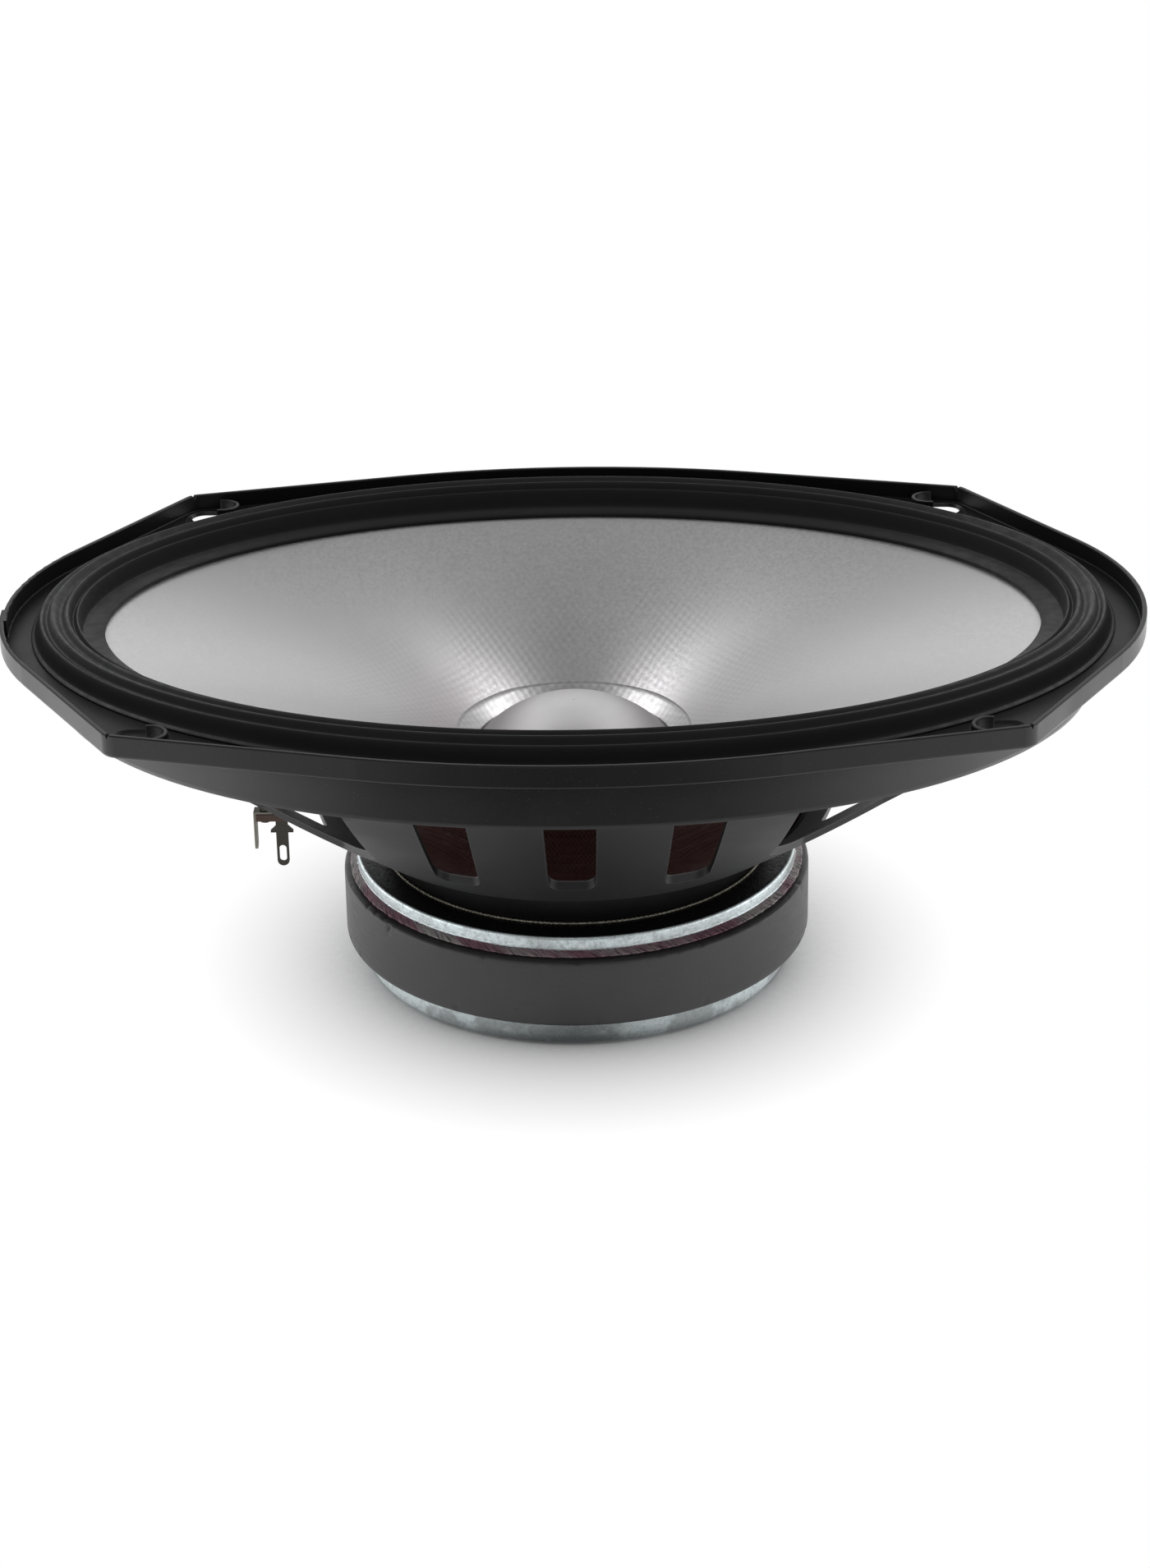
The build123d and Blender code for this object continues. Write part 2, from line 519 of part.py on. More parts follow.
def negative_tab():
    """Blade that hooks over the outer end of the board."""
    over = BOARD_Z[1]
    outer_x = BOARD_X[0] - TAB_THICKNESS
    width = NEGATIVE_Y[1] - NEGATIVE_Y[0]
    foot = block((outer_x, NEGATIVE_FOOT_X), NEGATIVE_Y, (over, over + TAB_THICKNESS))
    blade = block((outer_x, BOARD_X[0]), NEGATIVE_Y, (NEGATIVE_TIP_Z + width / 2, over + 0.1))
    side = Plane(origin=(outer_x, sum(NEGATIVE_Y) / 2, 0), x_dir=(0, 1, 0), z_dir=(1, 0, 0))
    tip = extrude(side * (Pos(0, NEGATIVE_TIP_Z + width / 2) * Circle(width / 2)), TAB_THICKNESS)
    tab = foot + blade + tip
    return tab - peg(*NEGATIVE_RIVET, TAB_RIVET_R, over - 1, over + 1)


def riveted(place, shank_r, head_r, low, high, head):
    """A rivet with a flat head at each end of the stack it holds."""
    x, y = place
    return (peg(x, y, shank_r, low, high) + peg(x, y, head_r, high, high + head)
            + peg(x, y, head_r, low - head, low))


def tab_rivets():
    positive = riveted(POSITIVE_RIVET, TAB_RIVET_R, TAB_RIVET_HEAD_R,
                       BOARD_Z[0] - TAB_THICKNESS, BOARD_Z[1], TAB_RIVET_HEAD)
    negative = riveted(NEGATIVE_RIVET, TAB_RIVET_R, TAB_RIVET_HEAD_R,
                       BOARD_Z[0], BOARD_Z[1] + TAB_THICKNESS, TAB_RIVET_HEAD)
    return [positive, negative]


def board_rivet():
    return riveted(BOARD_RIVET, BOARD_RIVET_R, BOARD_RIVET_HEAD_R, BOARD_Z[0],
                   BOARD_Z[1] + SHEET, TAB_RIVET_HEAD)


# ---- leads -----------------------------------------------------------------------------------
def joint_place(angle):
    """The outer face of a lead's solder joint, as a point and the direction it faces."""
    facing = Vector(cos(radians(angle)), sin(radians(angle)), 0)
    return facing * (COLLAR_OUT_R + JOINT_DEPTH) + Vector(0, 0, sum(JOINT_Z) / 2), facing


def lead_solder_joints():
    """A small pad for each lead, on the outside of the coil former's collar."""
    height = JOINT_Z[1] - JOINT_Z[0]
    joints = []
    for angle in JOINT_ANGLES:
        pad = Pos(COLLAR_OUT_R + JOINT_DEPTH / 2, 0, sum(JOINT_Z) / 2) * Box(JOINT_DEPTH, JOINT_WIDTH, height)
        pad = fillet(pad.faces().sort_by(Axis.X)[-1].edges(), JOINT_DEPTH / 3)
        pad -= peg(0, 0, COLLAR_OUT_R, JOINT_Z[0] - 1, JOINT_Z[1] + 1)
        joints.append(Rot(0, 0, angle) * pad)
    return joints


def tinsel_lead(rivet, rivet_top, angle):
    """A braided lead, from the rivet's head up through the leg's window and in to the coil."""
    end, facing = joint_place(angle)
    end += facing * (LEAD_R / 4)
    start = Vector(*rivet, rivet_top + 0.1)
    path = Bezier(start, start + Vector(0, 0, LEAD_RISE), end + facing * LEAD_REACH, end)
    return sweep(Plane(origin=path @ 0, z_dir=path % 0) * Circle(LEAD_R), path=path)


# ---- every node ------------------------------------------------------------------------------
def all_nodes():
    filled = cone_filled()
    head_top = BOARD_Z[1] + TAB_RIVET_HEAD
    return {
        "basket": basket(),
        "surround": surround(),
        "cone": cone(filled),
        "dust_cap": dust_cap(),
        "dust_cap_adhesive": dust_cap_adhesive(filled),
        "voice_coil_former": voice_coil_former(),
        "voice_coil_winding": voice_coil_winding(),
        "former_collar": former_collar(),
        "neck_adhesive": neck_adhesive(),
        "spider": spider(),
        "spider_adhesive": spider_adhesive(),
        "top_plate": top_plate(),
        "magnet": magnet(),
        "magnet_adhesive_top": magnet_adhesive(TOP_PLATE_BOTTOM_Z),
        "magnet_adhesive_bottom": magnet_adhesive(BACK_PLATE_TOP_Z + GLUE_LINE),
        "back_plate": back_plate(),
        "pole_piece": pole_piece(),
        "basket_rivets": basket_rivets(),
        "terminal_board": terminal_board(),
        "terminal_tab_positive": positive_tab(),
        "terminal_tab_negative": negative_tab(),
        "terminal_tab_rivets": tab_rivets(),
        "terminal_board_rivet": board_rivet(),
        "lead_solder_joints": lead_solder_joints(),
        "tinsel_lead_positive": tinsel_lead(POSITIVE_RIVET, head_top, JOINT_ANGLES[0]),
        "tinsel_lead_negative": tinsel_lead(NEGATIVE_RIVET, head_top + TAB_THICKNESS, JOINT_ANGLES[1]),
    }


os.makedirs("parts", exist_ok=True)
for name, shape in all_nodes().items():
    solids = shape if isinstance(shape, list) else shape.solids()
    whole = solids[0] if len(solids) == 1 else Compound(children=list(solids))
    export_step(whole, f"parts/{name}.step")
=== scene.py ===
from math import cos, pi, radians, sin

import bpy
import numpy as np
from mathutils import Matrix, Vector, noise

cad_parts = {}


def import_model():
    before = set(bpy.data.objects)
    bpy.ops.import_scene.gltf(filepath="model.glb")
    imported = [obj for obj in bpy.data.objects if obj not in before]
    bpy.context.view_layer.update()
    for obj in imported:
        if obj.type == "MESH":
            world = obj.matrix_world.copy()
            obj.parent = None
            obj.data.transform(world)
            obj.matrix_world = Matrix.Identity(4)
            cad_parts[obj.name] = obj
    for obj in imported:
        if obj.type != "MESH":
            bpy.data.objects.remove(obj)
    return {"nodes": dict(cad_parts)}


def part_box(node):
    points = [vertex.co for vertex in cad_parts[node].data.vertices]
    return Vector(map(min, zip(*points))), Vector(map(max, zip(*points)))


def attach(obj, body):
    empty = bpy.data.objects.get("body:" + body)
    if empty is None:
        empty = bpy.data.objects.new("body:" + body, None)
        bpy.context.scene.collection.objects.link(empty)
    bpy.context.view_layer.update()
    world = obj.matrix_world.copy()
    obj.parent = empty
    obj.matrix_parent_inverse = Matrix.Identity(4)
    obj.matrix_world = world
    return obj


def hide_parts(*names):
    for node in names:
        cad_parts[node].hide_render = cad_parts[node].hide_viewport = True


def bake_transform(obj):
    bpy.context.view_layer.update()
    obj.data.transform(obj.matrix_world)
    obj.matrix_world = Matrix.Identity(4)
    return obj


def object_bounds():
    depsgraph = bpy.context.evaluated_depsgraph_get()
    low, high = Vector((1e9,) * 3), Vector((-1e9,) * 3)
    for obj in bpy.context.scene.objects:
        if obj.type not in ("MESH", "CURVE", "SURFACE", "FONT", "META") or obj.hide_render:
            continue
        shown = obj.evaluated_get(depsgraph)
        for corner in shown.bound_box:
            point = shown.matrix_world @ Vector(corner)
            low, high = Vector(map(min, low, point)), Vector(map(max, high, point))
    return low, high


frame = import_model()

# Oval car loudspeaker driver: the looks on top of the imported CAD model.
#
# Metres, in the CAD frame: +Z out of the cone, X the long way, the origin in the flange's underside.
# Round and soft parts are rebuilt here as fine meshes that stand for their CAD nodes. The basket,
# the terminals, the rivets and the solder joints keep their CAD meshes and get their materials.

CAD_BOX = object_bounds()
MM = 0.001
FIXED, MOVING = "chassis", "moving_assembly"


# ---- places taken from the frame -------------------------------------------------------------
def reach(node):
    """Half widths along X and Y of a node that is centred on the axis."""
    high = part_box(node)[1]
    return high.x, high.y


def heights(node):
    low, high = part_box(node)
    return low.z, high.z


SURROUND_FOOT = 14.9 * MM        # width of the surround, from the visible cone's edge outwards
CONE_EDGE = [half - SURROUND_FOOT for half in reach("surround")]
CONE_RIM_Z = heights("cone")[1]
FORMER_R = reach("former_collar")[0]
NECK_R = FORMER_R + 0.15 * MM


# ---- mesh building ---------------------------------------------------------------------------
def make_object(name, points, faces, material, smooth=True):
    mesh = bpy.data.meshes.new(name)
    mesh.from_pydata([tuple(p) for p in points], [], faces)
    mesh.validate()
    mesh.polygons.foreach_set("use_smooth", [smooth] * len(mesh.polygons))
    mesh.materials.append(material)
    piece = bpy.data.objects.new(name, mesh)
    bpy.context.scene.collection.objects.link(piece)
    return piece


def grid_faces(rows, columns, close_rows):
    """Quads over a grid of points stored row by row; every row closes on itself."""
    faces = []
    for i in range(rows if close_rows else rows - 1):
        for j in range(columns):
            a, b = i * columns + j, i * columns + (j + 1) % columns
            up = ((i + 1) % rows) * columns
            faces.append((a, b, up + (j + 1) % columns, up + j))
    return faces


def turned(name, outline, material, segments=256, ruffle=None):
    """A body of revolution from a closed outline of (radius, height) points, anticlockwise.

    ruffle(angle, radius, height) gives a small change of radius and height at each point."""
    points = []
    for r, z in outline:
        for j in range(segments):
            angle = 2 * pi * j / segments
            dr, dz = ruffle(angle, r, z) if ruffle else (0.0, 0.0)
            points.append(((r + dr) * cos(angle), (r + dr) * sin(angle), z + dz))
    return make_object(name, points, grid_faces(len(outline), segments, True), material)


def oval_point(half_axes, offset, angle):
    """A point at a constant distance outside an ellipse."""
    a, b = half_axes
    normal = Vector((b * cos(angle), a * sin(angle))).normalized()
    return Vector((a * cos(angle), b * sin(angle))) + normal * offset


OVAL_SEGMENTS = 384


def swept_oval(name, outline, half_axes, material):
    """A closed outline of (offset, height) points swept round an ellipse, anticlockwise."""
    points = []
    for offset, z in outline:
        for j in range(OVAL_SEGMENTS):
            x, y = oval_point(half_axes, offset, 2 * pi * j / OVAL_SEGMENTS)
            points.append((x, y, z))
    return make_object(name, points, grid_faces(len(outline), OVAL_SEGMENTS, True), material)


def eased(points, steps_per_mm):
    """Soft hills and valleys through a row of (distance, height) points."""
    curve = []
    for (x0, z0), (x1, z1) in zip(points, points[1:]):
        count = max(1, round(steps_per_mm * (x1 - x0) / MM)) if z0 != z1 else 1
        for i in range(count):
            s = i / count
            curve.append((x0 + (x1 - x0) * s, z0 + (z1 - z0) * (1 - cos(pi * s)) / 2))
    curve.append(points[-1])
    return curve


def rounded(outline, radius, steps=4):
    """A closed outline of (radius, height) points with every corner rounded off."""
    smooth = []
    count = len(outline)
    for i in range(count):
        before, corner, after = (Vector(outline[(i + k) % count]) for k in (-1, 0, 1))
        to_before, to_after = before - corner, after - corner
        cut = min(radius, to_before.length * 0.45, to_after.length * 0.45)
        p = corner + to_before.normalized() * cut
        q = corner + to_after.normalized() * cut
        for k in range(steps + 1):
            s = k / steps
            smooth.append(tuple(p * (1 - s) ** 2 + corner * 2 * s * (1 - s) + q * s ** 2))
    return smooth


def divided(outline, longest, closed=True):
    """The outline with its long edges cut into shorter ones."""
    points = []
    for p, q in zip(outline, outline[1:] + outline[:1] if closed else outline[1:]):
        p, q = Vector(p), Vector(q)
        count = max(1, int((q - p).length / longest))
        points += [tuple(p.lerp(q, i / count)) for i in range(count)]
    return points if closed else points + outline[-1:]


def flexes(piece):
    """Bakes the piece's placement into its mesh."""
    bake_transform(piece)
    return piece


def smoothstep(x):
    x = min(1.0, max(0.0, x))
    return x * x * (3 - 2 * x)


# ---- node materials --------------------------------------------------------------------------
class Graph:
    """Adds nodes to a material or a world. Inputs can be numbers, colours or other nodes' outputs."""

    def __init__(self, owner):
        owner.use_nodes = True
        self.tree = owner.node_tree

    def node(self, kind, inputs=None, **settings):
        node = self.tree.nodes.new(kind)
        for key, value in settings.items():
            setattr(node, key, value)
        for key, value in (inputs or {}).items():
            self.feed(node.inputs[key], value)
        return node

    def feed(self, socket, value):
        if isinstance(value, bpy.types.NodeSocket):
            self.tree.links.new(value, socket)
        elif hasattr(socket.default_value, "__len__") and len(socket.default_value) == 4:
            socket.default_value = (*value[:3], 1.0)
        else:
            socket.default_value = value

    def math(self, operation, a, b=0.0):
        return self.node("ShaderNodeMath", {0: a, 1: b}, operation=operation).outputs[0]

    def split(self, vector):
        node = self.node("ShaderNodeSeparateXYZ", {0: vector})
        return node.outputs[0], node.outputs[1], node.outputs[2]

    def joined(self, x, y, z):
        return self.node("ShaderNodeCombineXYZ", {0: x, 1: y, 2: z}).outputs[0]

    def span(self, value, low, high, to_low=0.0, to_high=1.0):
        inputs = {"Value": value, "From Min": low, "From Max": high, "To Min": to_low,
                  "To Max": to_high}
        return self.node("ShaderNodeMapRange", inputs, interpolation_type="SMOOTHSTEP").outputs[0]

    def seen_by_camera(self):
        return self.node("ShaderNodeLightPath").outputs["Is Camera Ray"]


class Shader(Graph):
    """One node material, laid out in millimetres over the piece."""

    def __init__(self, name):
        self.material = bpy.data.materials.new(name)
        super().__init__(self.material)
        self.surface = self.tree.nodes["Principled BSDF"]
        metres = self.node("ShaderNodeTexCoord").outputs["Object"]
        to_mm = self.node("ShaderNodeVectorMath", {0: metres, 1: (1 / MM,) * 3}, operation="MULTIPLY")
        self.place = to_mm.outputs[0]

    def noise(self, per_mm, detail=3.0, roughness=0.55, vector=None):
        inputs = {"Vector": vector or self.place, "Scale": per_mm, "Detail": detail,
                  "Roughness": roughness}
        return self.node("ShaderNodeTexNoise", inputs).outputs["Fac"]

    def mix(self, share, first, second):
        node = self.node("ShaderNodeMix", data_type="RGBA")
        self.feed(node.inputs[0], share)
        self.feed(node.inputs[6], first)
        self.feed(node.inputs[7], second)
        return node.outputs[2]

    def bump(self, height, depth_mm, below=None):
        inputs = {"Height": height, "Distance": depth_mm * MM, "Strength": 1.0}
        if below is not None:
            inputs["Normal"] = below
        return self.node("ShaderNodeBump", inputs).outputs[0]

    def finish(self, **surface):
        for key, value in surface.items():
            self.feed(self.surface.inputs[key.replace("_", " ")], value)
        return self.material

    def angle_round_axis(self):
        """The angle round the driver's axis, and the distance from it in millimetres."""
        x, y, _ = self.split(self.place)
        squares = self.math("ADD", self.math("MULTIPLY", x, x), self.math("MULTIPLY", y, y))
        return self.math("ARCTAN2", y, x), self.math("SQRT", squares)

    def facing(self):
        """The surface's own normal, before any bump."""
        return self.node("ShaderNodeNewGeometry").outputs["Normal"]

    def upward(self):
        """1 on a face turned straight up, 0 on a wall and -1 on a face turned down."""
        return self.split(self.facing())[2]

    def sharp_edges(self, width_mm):
        """1 along sharp edges and 0 elsewhere."""
        eased_over = self.node("ShaderNodeBevel", {"Radius": width_mm * MM}, samples=4).outputs[0]
        both = {0: self.facing(), 1: eased_over}
        alike = self.node("ShaderNodeVectorMath", both, operation="DOT_PRODUCT").outputs["Value"]
        return self.span(alike, 0.78, 0.97, 1.0, 0.0)

    def open_air(self, reach_mm):
        """1 on open faces, less in hollows."""
        inputs = {"Distance": reach_mm * MM}
        return self.node("ShaderNodeAmbientOcclusion", inputs, samples=4).outputs["AO"]

    def weave(self, pitch, float_length):
        """A weave from above: its height, and whether the thread along Y is the one on top."""
        x, y, _ = self.split(self.place)
        warp = self.math("SINE", self.math("MULTIPLY", x, pi / pitch))
        weft = self.math("SINE", self.math("MULTIPLY", y, pi / float_length))
        over = self.math("MULTIPLY", warp, weft)
        height = self.math("ADD", 0.5, self.math("MULTIPLY", over, 0.5))
        return height, self.math("GREATER_THAN", over, 0.0)


def black_paint():
    """Satin electro-coat on pressed steel, with a faint orange peel and a few dust specks.

    It is lighter on sharp edges. It shines less on faces turned up or down, and in hollows: painted
    shade."""
    s = Shader("black_paint")
    cloud = s.noise(0.05, 3)
    peel = s.noise(1.6, 2)
    specks = s.span(s.noise(2.6, 1), 0.70, 0.78)
    colour = s.mix(cloud, (0.010, 0.010, 0.0105), (0.017, 0.017, 0.018))
    colour = s.mix(specks, colour, (0.050, 0.050, 0.050))
    rough = s.math("ADD", s.span(cloud, 0.3, 0.7, 0.36, 0.44), s.math("MULTIPLY", specks, 0.2))
    normal = s.bump(specks, 0.01, s.bump(peel, 0.012))
    colour = s.mix(s.math("MULTIPLY", s.sharp_edges(0.45), 0.7), colour, (0.115, 0.115, 0.115))
    upward = s.upward()
    # painted shade: less shine on faces turned up or down, and in hollows
    shine = s.span(upward, 0.6, 0.95, 0.40, 0.15)
    shine = s.math("MULTIPLY", shine, s.span(upward, -0.75, -0.35, 0.62, 1.0))
    shine = s.math("MULTIPLY", shine, s.span(s.open_air(9.0), 0.35, 0.95, 0.05, 1.0))
    return s.finish(Base_Color=colour, Roughness=rough, Normal=normal, Specular_IOR_Level=shine)


def moulded_rubber():
    s = Shader("moulded_rubber")
    cloud = s.noise(0.08, 4)
    grain = s.noise(7.0, 2)
    colour = s.mix(cloud, (0.014, 0.014, 0.0145), (0.022, 0.022, 0.023))
    rough = s.span(s.noise(0.4, 3), 0.3, 0.7, 0.44, 0.56)
    return s.finish(Base_Color=colour, Roughness=rough, Normal=s.bump(grain, 0.010),
                    Specular_IOR_Level=0.23)


WEAVE_PITCH, WEAVE_FLOAT = 0.95, 1.25     # millimetres


def metallised_weave():
    """The cone: a weave that shows near the neck, under a metallic skin that fills it outwards."""
    s = Shader("metallised_weave")
    height, _ = s.weave(WEAVE_PITCH, WEAVE_FLOAT)
    x, _, _ = s.split(s.place)
    _, distance = s.angle_round_axis()
    shown = s.math("MULTIPLY", s.span(distance, 26.0, 62.0, 1.0, 0.08),
                   s.span(s.noise(0.06, 2), 0.35, 0.6, 0.35, 1.0))
    cloud = s.noise(0.035, 4)
    fleck = s.noise(1.3, 3)
    colour = s.mix(s.math("MULTIPLY", cloud, 0.35), (0.54, 0.54, 0.545), (0.43, 0.425, 0.43))
    hollow = s.math("MULTIPLY", s.math("SUBTRACT", 1.0, height), shown)
    colour = s.mix(s.math("MULTIPLY", hollow, 0.28), colour, (0.28, 0.27, 0.28))
    mauve = s.math("MULTIPLY", s.span(distance, 24.0, 42.0, 1.0, 0.0),
                   s.span(x, -40.0, -10.0, 0.5, 0.1))
    colour = s.mix(mauve, colour, (0.46, 0.38, 0.40))
    rough = s.span(fleck, 0.3, 0.7, 0.36, 0.46)
    threads = s.bump(s.math("MULTIPLY", height, shown), 0.020)
    return s.finish(Base_Color=colour, Metallic=0.85, Roughness=rough,
                    Normal=s.bump(fleck, 0.012, threads))


def metallised_cap():
    """Bright in the middle, darkening to mauve grey where it slopes down to its foot: painted shade."""
    s = Shader("metallised_cap")
    cloud = s.noise(0.09, 4)
    fine = s.noise(4.0, 2)
    _, distance = s.angle_round_axis()
    colour = s.mix(cloud, (0.62, 0.61, 0.61), (0.72, 0.71, 0.71))
    # painted shade towards the foot of the dome, darkest at the foot itself
    colour = s.mix(s.span(distance, 7.0, 18.0, 0.0, 0.85), colour, (0.28, 0.26, 0.268))
    colour = s.mix(s.span(distance, 18.0, 20.0), colour, (0.14, 0.115, 0.124))
    return s.finish(Base_Color=colour, Metallic=0.45, Roughness=s.span(fine, 0.3, 0.7, 0.42, 0.56),
                    Normal=s.bump(fine, 0.010))


def clear_glue():
    """A clear film over the cone: the weave shows through it, inside a thin dark outer line."""
    s = Shader("clear_glue")
    height, _ = s.weave(WEAVE_PITCH, WEAVE_FLOAT)
    ripple = s.noise(0.5, 3)
    _, distance = s.angle_round_axis()
    colour = s.mix(s.math("MULTIPLY", s.math("SUBTRACT", 1.0, height), 0.35), (0.54, 0.535, 0.535),
                   (0.28, 0.27, 0.275))
    edge = s.math("MULTIPLY", s.span(distance, 23.9, 24.1), s.span(distance, 24.2, 24.5, 1.0, 0.0))
    colour = s.mix(s.math("MULTIPLY", edge, 0.45), colour, (0.16, 0.15, 0.15))
    return s.finish(Base_Color=colour, Metallic=0.85, Roughness=s.span(ripple, 0.3, 0.7, 0.32, 0.42),
                    Normal=s.bump(ripple, 0.01, s.bump(height, 0.02)))


def spider_cloth():
    """Phenolic-dipped cotton: a dark red-brown open weave."""
    s = Shader("spider_cloth")
    height, over = s.weave(0.45, 0.45)
    stain = s.noise(0.12, 4)
    colour = s.mix(over, (0.120, 0.040, 0.032), (0.190, 0.070, 0.055))
    colour = s.mix(s.math("MULTIPLY", stain, 0.5), colour, (0.060, 0.024, 0.020))
    return s.finish(Base_Color=colour, Roughness=s.span(stain, 0.3, 0.7, 0.55, 0.8),
                    Normal=s.bump(height, 0.09))


def zinc_plate(name, patchiness):
    """Clear-passivated zinc: faintly blue and straw tinted, finely mottled, with duller patches.

    The plate's upward face is dark, in the shade of what stands on it."""
    s = Shader(name)
    mottle = s.noise(0.9, 5, 0.65)
    tint = s.noise(0.11, 3)
    glint = s.noise(3.5, 3, 0.7)
    colour = s.mix(tint, (0.80, 0.92, 0.95), (0.90, 0.96, 0.96))
    patches = s.span(s.noise(0.055, 4, 0.6), 0.46, 0.55, 0.0, patchiness)
    colour = s.mix(patches, colour, (0.24, 0.25, 0.255))
    colour = s.mix(s.span(mottle, 0.45, 0.75, 0.0, 0.6), colour, (0.34, 0.36, 0.38))
    colour = s.mix(s.span(s.upward(), 0.6, 0.95, 0.0, 0.96), colour, (0.012, 0.012, 0.012))
    rough = s.span(s.math("ADD", mottle, s.math("MULTIPLY", glint, 0.5)), 0.5, 1.0, 0.20, 0.42)
    return s.finish(Base_Color=colour, Metallic=0.9, Roughness=rough,
                    Normal=s.bump(glint, 0.04, s.bump(mottle, 0.05)))


def sheared_steel():
    """The torn lower half of a blanked edge: brown and purple grey, streaked down the thickness."""
    s = Shader("sheared_steel")
    angle, distance = s.angle_round_axis()
    _, _, z = s.split(s.place)
    along = s.math("MULTIPLY", angle, distance)
    streaks = s.noise(2.6, 4, 0.75, s.joined(along, s.math("MULTIPLY", z, 0.25), 0.0))
    patches = s.noise(0.10, 3, 0.5, s.joined(along, z, 0.0))
    colour = s.mix(s.span(patches, 0.40, 0.62), (0.42, 0.21, 0.27), (0.62, 0.57, 0.57))
    colour = s.mix(s.span(streaks, 0.42, 0.62, 0.0, 0.92), colour, (0.035, 0.026, 0.030))
    rough = s.span(streaks, 0.3, 0.7, 0.40, 0.65)
    return s.finish(Base_Color=colour, Metallic=0.35, Roughness=rough, Normal=s.bump(streaks, 0.30))


def ground_ferrite():
    """Sintered ceramic, ground smooth: satin dark grey with faint clouds, pits and grinding lines."""
    s = Shader("ground_ferrite")
    angle, _ = s.angle_round_axis()
    _, _, z = s.split(s.place)
    cloud = s.noise(0.06, 4)
    lines = s.noise(2.2, 3, 0.6, s.joined(s.math("MULTIPLY", angle, 4.0), 0.0, z))
    pits = s.span(s.noise(1.9, 2), 0.69, 0.76)
    colour = s.mix(cloud, (0.058, 0.058, 0.060), (0.080, 0.080, 0.083))
    colour = s.mix(s.span(lines, 0.55, 0.75, 0.0, 0.3), colour, (0.10, 0.10, 0.103))
    colour = s.mix(pits, colour, (0.022, 0.022, 0.022))
    rough = s.span(lines, 0.3, 0.7, 0.38, 0.50)
    relief = s.math("SUBTRACT", s.math("MULTIPLY", lines, 0.3), pits)
    return s.finish(Base_Color=colour, Roughness=rough, Normal=s.bump(relief, 0.02))


def turned_steel():
    """Machined low-carbon steel with fine lathe rings."""
    s = Shader("turned_steel")
    _, distance = s.angle_round_axis()
    rings = s.math("SINE", s.math("MULTIPLY", distance, 2 * pi / 0.3))
    stain = s.noise(0.2, 4)
    colour = s.mix(stain, (0.26, 0.26, 0.265), (0.40, 0.40, 0.40))
    return s.finish(Base_Color=colour, Metallic=1.0, Roughness=s.span(stain, 0.3, 0.7, 0.30, 0.45),
                    Normal=s.bump(rings, 0.008))


def plated_rivet():
    s = Shader("plated_rivet")
    scuff = s.noise(3.0, 4)
    colour = s.mix(scuff, (0.34, 0.34, 0.35), (0.52, 0.52, 0.53))
    return s.finish(Base_Color=colour, Metallic=1.0, Roughness=s.span(scuff, 0.3, 0.7, 0.28, 0.46),
                    Normal=s.bump(scuff, 0.02))


def tinned_brass(name, painted_light_share):
    """Dull tin over brass, with the brass showing faintly through. The second argument, below 1,
    darkens the whole colour: painted shade on a copy that stands in shadow.
    """
    s = Shader(name)
    dull = s.noise(1.1, 4)
    colour = s.mix(dull, (0.16, 0.145, 0.11), (0.32, 0.31, 0.28))
    # painted shade: the whole colour darkened by the second argument
    colour = s.mix(painted_light_share, (0.006, 0.006, 0.005), colour)
    return s.finish(Base_Color=colour, Metallic=0.9, Roughness=s.span(dull, 0.3, 0.7, 0.34, 0.52),
                    Normal=s.bump(s.noise(5.0, 2), 0.01))


def laminated_board():
    """Phenolic paper board: brown layers on its cut edges, mottled resin on its faces."""
    s = Shader("laminated_board")
    _, _, z = s.split(s.place)
    layers = s.noise(1.0, 2, 0.5, s.joined(0.0, 0.0, s.math("MULTIPLY", z, 9.0)))
    resin = s.noise(0.8, 4)
    colour = s.mix(layers, (0.070, 0.035, 0.024), (0.120, 0.066, 0.045))
    colour = s.mix(s.math("MULTIPLY", resin, 0.5), colour, (0.045, 0.022, 0.016))
    return s.finish(Base_Color=colour, Roughness=s.span(resin, 0.3, 0.7, 0.40, 0.60),
                    Normal=s.bump(layers, 0.02))


def enamelled_copper():
    s = Shader("enamelled_copper")
    tone = s.noise(0.5, 3)
    colour = s.mix(tone, (0.42, 0.12, 0.045), (0.55, 0.20, 0.08))
    return s.finish(Base_Color=colour, Metallic=0.95, Roughness=0.25, Coat_Weight=0.6,
                    Coat_Roughness=0.15, Normal=s.bump(s.noise(3.0, 2), 0.01))


def amber_film():
    """Polyimide former: amber, glossy, faintly wavy."""
    s = Shader("amber_film")
    wave = s.noise(0.15, 3)
    colour = s.mix(wave, (0.30, 0.12, 0.025), (0.42, 0.19, 0.045))
    return s.finish(Base_Color=colour, Roughness=s.span(wave, 0.3, 0.7, 0.18, 0.30),
                    Normal=s.bump(wave, 0.06))


def kraft_paper():
    s = Shader("kraft_paper")
    fibre = s.noise(2.4, 5, 0.7)
    colour = s.mix(fibre, (0.22, 0.13, 0.065), (0.34, 0.22, 0.12))
    return s.finish(Base_Color=colour, Roughness=0.82, Normal=s.bump(fibre, 0.03))


def black_glue():
    s = Shader("black_glue")
    lumps = s.noise(0.35, 3)
    colour = s.mix(lumps, (0.008, 0.008, 0.008), (0.018, 0.017, 0.016))
    return s.finish(Base_Color=colour, Roughness=s.span(lumps, 0.3, 0.7, 0.16, 0.34),
                    Normal=s.bump(lumps, 0.15))


def bright_solder():
    s = Shader("bright_solder")
    flow = s.noise(1.4, 3)
    colour = s.mix(flow, (0.50, 0.50, 0.50), (0.66, 0.66, 0.65))
    return s.finish(Base_Color=colour, Metallic=1.0, Roughness=s.span(flow, 0.3, 0.7, 0.18, 0.34),
                    Normal=s.bump(flow, 0.05))


